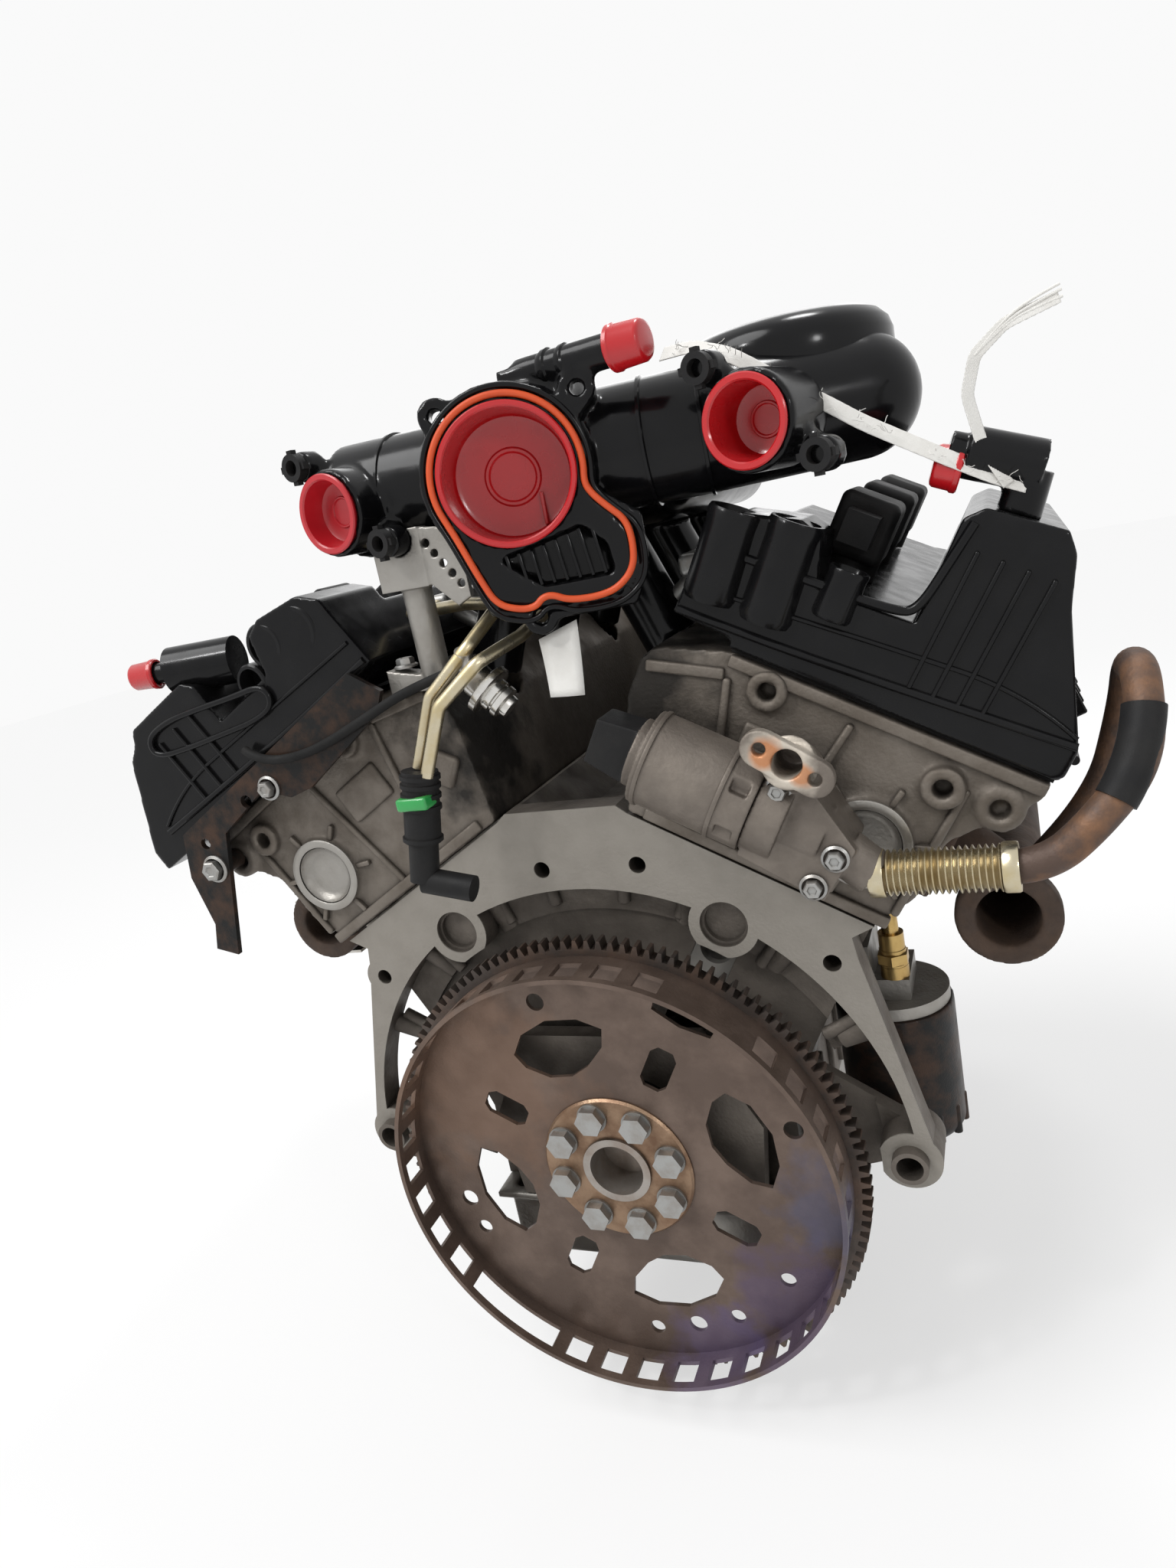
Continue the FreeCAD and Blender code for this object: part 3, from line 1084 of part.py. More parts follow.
sprocket_end = d.sprocket_start + d.sprocket_width
belt = loop_plate(d.belt_gap + d.belt_thick, d.sprocket_start, sprocket_end)
belt = belt.cut(loop_plate(d.belt_gap, d.sprocket_start - 1, sprocket_end + 1))
solid("timing_belt", belt)
crank_wheel = toothed(0, 0, d.crank_sprocket, 22, d.sprocket_start, sprocket_end)
crank_wheel = crank_wheel.cut(disc(0, 0, 18, d.sprocket_start - 1, sprocket_end + 1))
for name, (x, z) in (("left", cam_left), ("right", cam_right)):
    wheel = toothed(x, z, cam_sprocket, 44, d.sprocket_start, sprocket_end)
    wheel = wheel.cut(disc(x, z, d.journal_radius, d.sprocket_start - 1, sprocket_end + 1))
    for k in range(5):
        across, up = at_angle(72 * k, 32)
        wheel = wheel.cut(disc(x + across, z + up, 9, d.sprocket_start - 1, sprocket_end + 1))
    solid(f"camshaft_{name}", Part.makeCompound([camshafts[name], wheel]))

case_back = d.block_front + 2
case_out = loop_plate(18, case_back, d.cover_front)
case = case_out.cut(loop_plate(13, case_back - 1, d.cover_front - 4))
case = case.cut([disc(0, 0, 24, case_back - 1, d.cover_front + 1),
                 disc(d.pump_across, d.pump_height, 16, case_back - 1, d.cover_front + 1)])
case = case.cut([doc.getObject(f"valve_cover_{name}").Shape for name in BANKS]
                + [doc.getObject("oil_pan").Shape])
case = max(case.Solids, key=lambda item: item.Volume)
solid("timing_cover", case)
front_seal = disc(0, 0, 24, d.cover_front - 6, d.cover_front)
front_seal = front_seal.cut(disc(0, 0, 18 + d.running_fit, 300, 500))
solid("crank_seals", Part.makeCompound([rear_seal, front_seal]))

# ---- water pump, crank damper and oil pump --------------------------------------------------------
px, pz = d.pump_across, d.pump_height
pump_housing = disc(px, pz, 15.9, d.block_front + 0.2, d.cover_front + 8)
pump_housing = pump_housing.fuse(disc(px, pz, 30, d.block_front + 0.2, d.sprocket_start - 3))
pump_housing = pump_housing.cut(disc(px, pz, 8 + d.running_fit, 300, 500))
solid("water_pump_housing", pump_housing)
pulley = turned("water_pump_rotor", [
    ("block_front + 1", "0"), ("block_front + 1", "8"), ("damper_start + 4", "8"),
    ("damper_start + 4", "pump_pulley"), ("damper_start + 7", "pump_pulley"),
    ("damper_start + 9", "pump_pulley - 4"), ("damper_start + 25", "pump_pulley - 4"),
    ("damper_start + 27", "pump_pulley"), ("damper_start + 30", "pump_pulley"),
    ("damper_start + 30", "pump_pulley - 7"), ("damper_start + 10", "pump_pulley - 7"),
    ("damper_start + 10", "8"), ("damper_start + 18", "8"), ("damper_start + 18", "0")])
place(pulley, ("pump_across", "0", "pump_height"))
turned("crank_damper", [
    ("damper_start", "18"), ("damper_start", "32"), ("damper_start + 10", "32"),
    ("damper_start + 10", "damper_radius - 16"), ("damper_start", "damper_radius - 16"),
    ("damper_start", "damper_radius"), ("damper_start + 7", "damper_radius"),
    ("damper_start + 9", "damper_radius - 4"), ("damper_start + 25", "damper_radius - 4"),
    ("damper_start + 27", "damper_radius"), ("damper_start + damper_width", "damper_radius"),
    ("damper_start + damper_width", "damper_radius - 12"), ("damper_start + 18", "damper_radius - 12"),
    ("damper_start + 18", "30"), ("damper_start + damper_width - 8", "30"),
    ("damper_start + damper_width - 8", "18")])
damper_bolt = disc(0, 0, 5.9, nose - 36, nose + 1).fuse(disc(0, 0, 22, nose, nose + 4))
damper_bolt = joined([damper_bolt, hexagon((0, nose + 4, 0), (0, 1, 0), 22, 10)])
rotor = toothed(0, 0, 30, 9, d.block_front + 0.5, d.sprocket_start - 1)
rotor = rotor.cut(disc(0, 0, 18, 300, 500))
solid("crank_nose_parts", Part.makeCompound([crank_wheel, rotor, damper_bolt]))
pump_case = disc(0, 0, d.crank_sprocket + 12.5, d.block_front + 0.2, d.sprocket_start - 0.6)
pump_case = pump_case.cut(disc(0, 0, 30.4, 300, 500))
pickup = bent_pipe([(46, 371.7, -84), (46, 330, -84), (24, 262, -150), (0, 232, -172)], 8, 16, 6)
strainer = Part.makeCone(26, 12, 10, V(0, 228, -181)).cut(Part.makeCone(24, 10, 10, V(0, 228, -182)))
pickup = pickup.fuse(strainer)
solid("oil_pump", Part.makeCompound([pump_case, pickup]))

# ---- exhaust manifolds and heat shield -------------------------------------------------------------
for name, side in BANKS.items():
    trunk_y = (cylinder_station(side, 0) - 20, cylinder_station(side, 2) + 26)
    parts = [disc(side * 146, head_low + 22, 22, *trunk_y),
             disc(side * 146, head_low + 22, 30, trunk_y[0] - 14, trunk_y[0])]
    cores = [disc(side * 146, head_low + 22, 18, trunk_y[0] - 20, trunk_y[1] - 5)]
    for index in range(3):
        y = cylinder_station(side, index)
        parts.append(bar((side * 96, y, head_low + 40), (side * 140, y, head_low + 30), d.port_radius + 4))
        parts.append(block_of(sorted((side * (d.deck_outer + 14.3), side * 101)), (y - 34, y + 34),
                              (head_low + 12, head_low + 60)))
        cores.append(bar((side * 80, y, head_low + 40), (side * 140, y, head_low + 30), d.port_radius))
    made = bored(joined(parts), cores)
    made = made.cut(doc.getObject(f"cylinder_head_{name}").Shape.transformGeometry(
        bank(side).inverse().toMatrix()))
    made = max(made.Solids, key=lambda item: item.Volume)
    solid(f"exhaust_manifold_{name}", made, bank(side))
egr_pipe = egr_pipe.cut(doc.getObject("exhaust_manifold_right").Shape)
solid("egr_pipe", max(egr_pipe.Solids, key=lambda item: item.Volume))
shield = slab([(-170, head_low + 52), (-172, head_low + 52), (-176, head_low), (-150, head_low - 14),
               (-149, head_low - 12), (-174, head_low + 1)], 80, 300)
pads = [bar((-168.3, y, head_low + 22), (-173, y, head_low + 22), 7) for y in (120, 260)]
shield = joined([shield] + pads)
solid("exhaust_heat_shield", shield, bank(-1))

# ---- lifting bracket at the left rear --------------------------------------------------------------
bracket = slab([(-277, 254), (-110, 349), (-89, 335.5), (-95.5, 322), (-159, 279), (-176, 274),
                (-186, 277), (-186, 289), (-239, 253), (-259, 162), (-277, 167), (-272, 186),
                (-281, 222)], -26, -22)
bracket = joined([bracket, disc(-191.5, 282, 7, -26, -0.2), disc(-256, 228, 7, -26, -4.2)])
bracket = bracket.cut([disc(-191.5, 282, 3.4, -30, 2), disc(-256, 228, 3.4, -30, 2),
                       disc(-214, 274, 4.5, -30, -20), disc(-259, 246.5, 4, -30, -20)])
bracket = bracket.cut([doc.getObject("valve_cover_left").Shape, doc.getObject("cylinder_head_left").Shape])
solid("lifting_bracket", max(bracket.Solids, key=lambda item: item.Volume))

# ---- rear fuel feed -----------------------------------------------------------------------------
feed_route = [(-94.5, 74.7, 374), (-94.5, 36, 374), (-40, 14, 376), (-8, -4, 374), (-20, -34, 354),
              (-46, -42, 330), (-62, -46, 290)]
spare_route = [(12, 104, d.plenum_bottom - 0.3), (12, 104, 372), (12, 26, 366), (4, -10, 354),
               (-11, -42, 346), (-37, -50, 325), (-53, -54, 286)]
feed = bent_pipe(feed_route, 4, 9, 2.6)
spare = bent_pipe(spare_route, 4, 9, 2.6)
solid("fuel_feed_tubes", Part.makeCompound([feed, spare]))
connector = bar((-60, -49, 289), (-67, -52, 246), 11).fuse(bar((-67, -52, 246), (-71, -54, 222), 9))
connector = connector.fuse(bar((-71, -54, 222), (-40, -52, 214), 8))
connector = connector.cut([bar((-46, -42, 330), (-62, -46, 290), 4.02),
                           bar((-37, -50, 325), (-53, -54, 286), 4.02)])
solid("quick_connector", connector)
hose = bent_pipe([(-204, -25, 309), (-190, -29.4, 300), (-150, -29.4, 302), (-102, -29.4, 320.4),
                  (-69.8, -29.4, 333.9), (-38, -29.4, 341)], 3, 22)
solid("vacuum_hose", hose.cut(doc.getObject("valve_cover_left").Shape))

pulse = joined([bar((-30.5, -20, 339), (-6.8, -20, 313.8), 10.5),
                bar((-19, -20, 326.8), (-16.3, -20, 323.9), 16), bar((-29, -22, 335), (-24, -35, 350), 6)])
pulse = pulse.cut([bent_pipe(feed_route, 4.3, 9), bent_pipe(spare_route, 4.3, 9), hose])
pulse = max(pulse.Solids, key=lambda item: item.Volume)
solid("pulse_damper", pulse)

# ---- breather valve, elbow and their caps --------------------------------------------------------
breather = joined([bar((-216, 6, 366), (-262, -6, 366), 16), bar((-262, -6, 366), (-288, -12, 366), 7)])
breather = breather.cut(doc.getObject("valve_cover_left").Shape)
solid("breather_valve", max(breather.Solids, key=lambda item: item.Volume))
filler = joined([Part.makeCylinder(26, 13, V(*FILLER) + V(0, 0, 12.3)),
                 block_of((FILLER[0] - 4, FILLER[0] + 4), (FILLER[1] - 22, FILLER[1] + 22),
                          (FILLER[2] + 25, FILLER[2] + 33))])
filler.Placement = bank(-1)
solid("oil_filler_cap", filler)
left_cap = bar((-272, -8.3, 366), (-292, -13, 366), 10).cut(bar((-270, -7.8, 366), (-288, -12, 366), 7.02))
elbow_foot = across_bank(1, 52, d.cover_top + 2)


def from_foot(across, y, up):
    """A point measured across and up from the elbow's foot."""
    return elbow_foot[0] + across, y, elbow_foot[1] + up


elbow = joined([bar(from_foot(-1, 18, -2), from_foot(7, 18, 20), 11),
                bar(from_foot(12, 18, 20), from_foot(-22, 14, 34), 13),
                bar(from_foot(-18, 14, 32), from_foot(-30, 13, 37), 9)])
elbow = elbow.cut(doc.getObject("valve_cover_right").Shape)
elbow = max(elbow.Solids, key=lambda item: item.Volume)
solid("breather_elbow", elbow)
elbow_cap = bar(from_foot(-24, 13.4, 34.7), from_foot(-38, 12.4, 40), 11.5).cut(elbow)
elbow_cap = max(elbow_cap.Solids, key=lambda item: item.Volume)
solid("breather_caps", Part.makeCompound([top_cap, left_cap, elbow_cap]))

# ---- oil filter, its adapter and the pressure sender -----------------------------------------
adapter = block_of((d.skirt_half + 3, 168), (50, 100), (84, 122))
adapter = adapter.fuse(Part.makeCylinder(36, 8, V(176, 78, 74)))
adapter = adapter.fuse(block_of((150, 190), (56, 100), (78, 96)))
adapter = adapter.cut(doc.getObject("engine_block").Shape)
solid("filter_adapter", max(adapter.Solids, key=lambda item: item.Volume))
canister = Part.makeCylinder(38, 92, V(176, 78, -18.3))
canister = canister.makeFillet(8, canister.Edges[-1:])
solid("oil_filter", canister)
sender = joined([bar((181, 64, 96), (181, 64, 104), 9), bar((181, 64, 104), (181, 64, 126), 8),
                 bar((181, 64, 126), (181, 64, 141), 5)])
solid("pressure_sender", sender)

# ---- packing strap ---------------------------------------------------------------------------------
# A woven tie left on for transport, from the duct to the breather elbow, with a stiff loose end.


def ribbon(points, start, end, thick):
    """A thin band through (x, z) points, extruded along the crank."""
    upper = [(x, z + thick) for x, z in points]
    return slab(points + upper[::-1], start, end)


tight = ribbon([(118, 483), (144, 478), (170, 462), (206, 437), (242, 413), (258, 400)], 13.5, 21, 0.9)
tight = tight.cut([elbow_cap, doc.getObject("intake_manifold").Shape, doc.getObject("breather_elbow").Shape,
                   doc.getObject("ignition_coils").Shape, doc.getObject("valve_cover_right").Shape])
loose_route = [(272, 389), (259.5, 415), (256, 436), (263, 452), (276, 463), (301, 469)]
loose = slab(loose_route + [(x + 1, z - 0.6) for x, z in loose_route[::-1]], 0, 6)
loose = loose.cut([doc.getObject("breather_elbow").Shape, elbow_cap])
strap_pieces = [max(item.Solids, key=lambda part: part.Volume) for item in (tight, loose)]
solid("packing_strap", Part.makeCompound(strap_pieces))
doc.recompute()


def write_parts():
    """Check every object, then write each node's shape."""
    os.makedirs("parts", exist_ok=True)
    faults = []
    for thing in doc.Objects:
        if {"Invalid", "Error"} & set(thing.State):
            faults.append(thing.Label + " " + " ".join(thing.State))
    for piece in pieces:
        if piece.Shape.isNull() or not piece.Shape.isValid() or not piece.Shape.Solids:
            faults.append(piece.Label + " has no valid solid")
    if faults:
        raise RuntimeError("; ".join(faults))
    for piece in pieces:
        piece.Shape.exportStep(f"parts/{piece.Label}.step")


write_parts()
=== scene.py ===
"""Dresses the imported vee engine: materials, moulded and cast detail, camera, light and floor."""
import math
import random

import bmesh
import bpy
import numpy as np
from mathutils import Matrix, Vector


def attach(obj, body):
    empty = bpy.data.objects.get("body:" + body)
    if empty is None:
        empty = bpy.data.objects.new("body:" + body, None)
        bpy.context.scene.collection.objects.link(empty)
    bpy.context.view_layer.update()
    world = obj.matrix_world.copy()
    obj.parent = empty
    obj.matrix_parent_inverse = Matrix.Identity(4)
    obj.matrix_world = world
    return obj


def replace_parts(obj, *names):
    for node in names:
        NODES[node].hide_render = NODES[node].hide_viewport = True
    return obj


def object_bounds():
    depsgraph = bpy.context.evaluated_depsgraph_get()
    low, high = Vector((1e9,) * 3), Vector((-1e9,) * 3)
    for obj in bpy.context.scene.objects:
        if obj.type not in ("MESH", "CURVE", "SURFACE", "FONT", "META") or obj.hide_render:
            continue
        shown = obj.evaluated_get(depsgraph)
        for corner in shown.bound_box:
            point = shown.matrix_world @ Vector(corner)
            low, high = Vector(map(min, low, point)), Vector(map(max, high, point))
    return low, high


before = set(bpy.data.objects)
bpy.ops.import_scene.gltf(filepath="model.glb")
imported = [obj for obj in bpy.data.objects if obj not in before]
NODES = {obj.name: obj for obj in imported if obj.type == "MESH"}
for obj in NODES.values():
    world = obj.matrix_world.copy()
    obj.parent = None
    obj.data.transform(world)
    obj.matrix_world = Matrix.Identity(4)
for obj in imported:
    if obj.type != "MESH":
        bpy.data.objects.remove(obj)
cad_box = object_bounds()

# ---- engine block -------------------------------------------------------------------------------
# The block is one aluminium casting in the shape of a vee, left rough and stained, with its rear
# machined flat for the bell housing. Webs and ribs are cast on it, core plugs are pressed in, and
# bolts hold the sump below and the belt cover at the far end.
MM = 0.001
COAT_ROUGHNESS = .12


def new_group(name, inputs, outputs):
    """A shader node group, its input node and its output node; a socket's kind is Color, Float or
    Vector."""
    tree = bpy.data.node_groups.new(name, "ShaderNodeTree")
    for label, kind, value in inputs:
        socket = tree.interface.new_socket(label, in_out="INPUT", socket_type="NodeSocket" + kind)
        if value is not None:
            socket.default_value = value
    for label, kind in outputs:
        tree.interface.new_socket(label, in_out="OUTPUT", socket_type="NodeSocket" + kind)
    return tree, tree.nodes.new("NodeGroupInput"), tree.nodes.new("NodeGroupOutput")


def node(tree, kind, **settings):
    """Adds a node; keys that name a socket set its value, others set an attribute."""
    made = tree.nodes.new(kind)
    for key, value in settings.items():
        label = key.replace("_", " ")
        if label in made.inputs:
            made.inputs[label].default_value = value
        else:
            setattr(made, key, value)
    return made


def mix_colour(tree, factor, first, second):
    """First colour where the factor is 0 and second where it is 1, as a colour socket."""
    made = tree.nodes.new("ShaderNodeMix")
    made.data_type = "RGBA"
    tree.links.new(factor, made.inputs[0])
    tree.links.new(first, made.inputs[6])
    tree.links.new(second, made.inputs[7])
    return made.outputs[2]


def span(tree, source, low, high, to_low, to_high):
    """Maps a value socket in a straight line from low to high onto to_low to to_high."""
    made = tree.nodes.new("ShaderNodeMapRange")
    for spot, value in enumerate((low, high, to_low, to_high), start=1):
        made.inputs[spot].default_value = value
    tree.links.new(source, made.inputs[0])
    return made.outputs[0]


def reckon(tree, operation, first, second):
    """One Math node; each side is a socket or a plain number."""
    made = tree.nodes.new("ShaderNodeMath")
    made.operation = operation
    for spot, value in enumerate((first, second)):
        if isinstance(value, (int, float)):
            made.inputs[spot].default_value = value
        else:
            tree.links.new(value, made.inputs[spot])
    return made.outputs[0]


# Wear and painted shade that most finishes share. A slow noise lays patches of the second
# colour over the base. Painted shade, with grime, darkens the hollows: hollowness times a
# streaky noise mixes in the third colour. The streaks also set the roughness, and a fine noise
# gives the grain of the skin.
aged_and_shaded, ins, outs = new_group("aged_and_hollow_shaded", [
    ("Base", "Color", None), ("Second", "Color", None),
    ("Hollow Shade And Dirt Colour", "Color", None), ("Mottle Scale", "Float", 25),
    ("Mottle", "Float", 0.5), ("Hollow Shade And Dirt Amount", "Float", 0.5),
    ("Grain Scale", "Float", 700), ("Grain Depth", "Float", 0.2),
    ("Rough Low", "Float", 0.4), ("Rough High", "Float", 0.6)],
    [("Color", "Color"), ("Roughness", "Float"),
     ("Normal", "Vector")])
link = aged_and_shaded.links.new
place = aged_and_shaded.nodes.new("ShaderNodeTexCoord").outputs["Object"]
mottle = node(aged_and_shaded, "ShaderNodeTexNoise", Detail=6, Roughness=0.62)
link(place, mottle.inputs["Vector"])
link(ins.outputs["Mottle Scale"], mottle.inputs["Scale"])
patches = reckon(aged_and_shaded, "MULTIPLY", span(aged_and_shaded, mottle.outputs["Fac"], 0.42, 0.66, 0, 1),
                 ins.outputs["Mottle"])
coloured = mix_colour(aged_and_shaded, patches, ins.outputs["Base"], ins.outputs["Second"])
# Painted shade: ambient occlusion finds the hollows within 22 mm, and there the colour goes dark
# towards the third colour, broken up by streaks.
hollow = node(aged_and_shaded, "ShaderNodeAmbientOcclusion", samples=4, Distance=0.022)
streak = node(aged_and_shaded, "ShaderNodeTexNoise", Scale=60, Detail=4)
link(place, streak.inputs["Vector"])
hollow_shade_and_dirt = reckon(aged_and_shaded, "MULTIPLY", span(aged_and_shaded, hollow.outputs["AO"], 0.25, 0.95, 1, 0),
              span(aged_and_shaded, streak.outputs["Fac"], 0.3, 0.6, 0.45, 1))
hollow_shade_and_dirt = reckon(aged_and_shaded, "MULTIPLY", hollow_shade_and_dirt, ins.outputs["Hollow Shade And Dirt Amount"])
link(mix_colour(aged_and_shaded, hollow_shade_and_dirt, coloured, ins.outputs["Hollow Shade And Dirt Colour"]), outs.inputs["Color"])
grain = node(aged_and_shaded, "ShaderNodeTexNoise", Detail=3)
link(place, grain.inputs["Vector"])
link(ins.outputs["Grain Scale"], grain.inputs["Scale"])
bump = node(aged_and_shaded, "ShaderNodeBump", Distance=0.0006)
link(grain.outputs["Fac"], bump.inputs["Height"])
link(ins.outputs["Grain Depth"], bump.inputs["Strength"])
link(bump.outputs["Normal"], outs.inputs["Normal"])
rough = aged_and_shaded.nodes.new("ShaderNodeMapRange")
link(streak.outputs["Fac"], rough.inputs[0])
rough.inputs[1].default_value = 0.3
rough.inputs[2].default_value = 0.7
link(ins.outputs["Rough Low"], rough.inputs[3])
link(ins.outputs["Rough High"], rough.inputs[4])
link(rough.outputs[0], outs.inputs["Roughness"])


def aged_and_shaded_finish(name, base, second, hollow_shade_and_dirt_colour, mottle, hollow_shade_and_dirt, grain, roughness, metallic=0, coat=0,
                specular=None):
    """A material of the aged surface, with painted shade and grime in its hollows. Mottle is (scale,
    amount), hollow_shade_and_dirt the amount of painted shade and grime, grain (scale, depth) and
    roughness (low, high)."""
    made = bpy.data.materials.new(name)
    made.use_nodes = True
    tree = made.node_tree
    surface = tree.nodes["Principled BSDF"]
    aged_and_shaded_node = tree.nodes.new("ShaderNodeGroup")
    aged_and_shaded_node.node_tree = aged_and_shaded
    amounts = {"Base": (*base, 1), "Second": (*second, 1), "Hollow Shade And Dirt Colour": (*hollow_shade_and_dirt_colour, 1),
               "Mottle Scale": mottle[0], "Mottle": mottle[1], "Hollow Shade And Dirt Amount": hollow_shade_and_dirt,
               "Grain Scale": grain[0], "Grain Depth": grain[1],
               "Rough Low": roughness[0], "Rough High": roughness[1]}
    for socket, value in amounts.items():
        aged_and_shaded_node.inputs[socket].default_value = value
    for socket, target in (("Color", "Base Color"), ("Roughness", "Roughness"),
                           ("Normal", "Normal")):
        tree.links.new(aged_and_shaded_node.outputs[socket], surface.inputs[target])
    surface.inputs["Metallic"].default_value = metallic
    surface.inputs["Coat Weight"].default_value = coat
    surface.inputs["Coat Roughness"].default_value = COAT_ROUGHNESS
    if specular is not None:
        surface.inputs["Specular IOR Level"].default_value = specular
    return made


def dress(finish, *names):
    """Gives every slot of the named CAD nodes a finish."""
    for name in names:
        for held in NODES[name].material_slots:
            held.link = "OBJECT"
            held.material = finish


def pass_through(made, group, values):
    """Puts a group between a material's base colour and its surface, with its own values."""
    tree = made.node_tree
    target = tree.nodes["Principled BSDF"].inputs["Base Color"]
    source = target.links[0].from_socket
    stage = tree.nodes.new("ShaderNodeGroup")
    stage.node_tree = group
    for socket, value in values.items():
        stage.inputs[socket].default_value = value
    tree.links.new(source, stage.inputs["Color"])
    tree.links.new(stage.outputs["Color"], target)


cast_block = aged_and_shaded_finish(
    "cast_block", (.125, .108, .092), (.19, .165, .14), (.022, .018, .014), mottle=(22, .8),
    hollow_shade_and_dirt=.85, grain=(420, .6), roughness=(.5, .75), metallic=.5)
cast_light = aged_and_shaded_finish(
    "cast_light", (.34, .325, .30), (.25, .23, .20), (.08, .07, .06), mottle=(26, .6), hollow_shade_and_dirt=.6,
    grain=(420, .4), roughness=(.35, .6), metallic=.75)
bolt = aged_and_shaded_finish(
    "bolt", (.36, .36, .35), (.26, .23, .20), (.07, .06, .05), mottle=(90, .6), hollow_shade_and_dirt=.6,
    grain=(800, .2), roughness=(.35, .55), metallic=.85)

# The cut colour shows where the surface lies behind a station along the crank.
faced, fin, fout = new_group("machined_rear", [
    ("Color", "Color", None), ("Cut Color", "Color", None),
    ("Station", "Float", .001)], [("Color", "Color")])
faced_place = faced.nodes.new("ShaderNodeSeparateXYZ")
faced.links.new(faced.nodes.new("ShaderNodeTexCoord").outputs["Object"], faced_place.inputs[0])
behind = reckon(faced, "LESS_THAN", faced_place.outputs["Y"], fin.outputs["Station"])
faced.links.new(mix_colour(faced, behind, fin.outputs["Color"], fin.outputs["Cut Color"]),
                fout.inputs["Color"])
block_banded = cast_block.copy()
block_banded.name = "block_banded"
pass_through(block_banded, faced, {"Cut Color": (.27, .25, .22, 1)})
dress(block_banded, "engine_block")
dress(cast_block, "rear_seal_housing", "dowels_and_plugs")


def placed(name, data):
    """An object that shows this data, put in the scene."""
    made = bpy.data.objects.new(name, data)
    bpy.context.collection.objects.link(made)
    return made


def add_mesh(name, points, faces, finish):
    """Makes a piece of the engine from points in millimetres, smooth but for its sharp edges."""
    data = bpy.data.meshes.new(name)
    data.from_pydata((np.asarray(points, dtype=float) * MM).tolist(), [], [list(f) for f in faces])
    data.validate()
    made = placed(name, data)
    data.materials.append(finish)
    data.shade_smooth()
    data.set_sharp_from_angle(angle=math.radians(38))
    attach(made, "engine")
    return made


def basis(axis):
    """Two unit vectors square to an axis, and the axis itself."""
    along = np.asarray(axis, dtype=float)
    along = along / np.linalg.norm(along)
    side = np.cross(along, (0, 0, 1) if abs(along[2]) < .9 else (1, 0, 0))
    side = side / np.linalg.norm(side)
    return side, np.cross(along, side), along


def lathe(profile, origin, axis, turns=72):
    """A turned form: each (along, radius) pair is a ring of points, origin plus along times the
    axis plus radius times (side cos t plus other sin t), joined to the next ring by quads."""
    side, other, along = basis(axis)
    reach, radius = np.array(profile, float).T
    t = 2 * np.pi * np.arange(turns) / turns
    ring = np.outer(np.cos(t), side) + np.outer(np.sin(t), other)
    points = np.asarray(origin) + np.outer(reach, along)[:, None] + radius[:, None, None] * ring
    first = np.arange(len(profile) - 1)[:, None] * turns + np.arange(turns)
    second = np.roll(first, -1, axis=1)
    faces = np.stack([first, second, second + turns, first + turns], axis=-1)
    return points.reshape(-1, 3), faces.reshape(-1, 4)


def merged(groups):
    """Joins several (points, faces) pairs into one."""
    points, faces = [], []
    for some_points, some_faces in groups:
        base = len(points)
        points += list(some_points)
        faces += [tuple(base + i for i in face) for face in some_faces]
    return points, faces


def rounded_box(low, high, edge=1.5, steps=3):
    """A box between two corners with rounded edges, as points and faces."""
    shape = bmesh.new()
    bmesh.ops.create_cube(shape, size=1)
    low, high = np.asarray(low, float), np.asarray(high, float)
    for vert in shape.verts:
        vert.co = Vector((low + high) / 2 + np.asarray(vert.co) * (high - low))
    edge = min(edge, *((high - low) * .45))
    bmesh.ops.bevel(shape, geom=list(shape.edges), offset=edge, segments=steps, affect="EDGES",
                    profile=.5)
    shape.verts.ensure_lookup_table()
    points = np.array([v.co for v in shape.verts])
    faces = [tuple(v.index for v in f.verts) for f in shape.faces]
    shape.free()
    return points, faces


def turned(points, degrees, axis, centre=(0, 0, 0)):
    """Points turned about a line through the centre: the offset from it times the turn."""
    turn = np.array(Matrix.Rotation(math.radians(degrees), 3, axis))
    return (np.asarray(points) - centre) @ turn.T + centre


def hex_bolt(spot, axis, flats=10, height=6.5, washer=8, thread=0):
    """A flanged hexagon head with a chamfer and a dished top, and a stud's end where it has one."""
    radius = flats / math.sqrt(3)
    flange = [(0, washer * .98), (0, washer), (1.2, washer), (2.2, washer * .82)]
    head = [(1.6, radius), (height - .9, radius), (height, radius * .86), (height, radius * .55),
            (height - .8, radius * .45), (height - .8, .01)]
    groups = [lathe(flange, spot, axis, 24), lathe(head, spot, axis, 6)]
    if thread:
        stud = [(height, thread), (height + 5, thread), (height + 6, thread * .8),
                (height + 6, .01)]
        groups.append(lathe(stud, spot, axis, 20))
    return merged(groups)


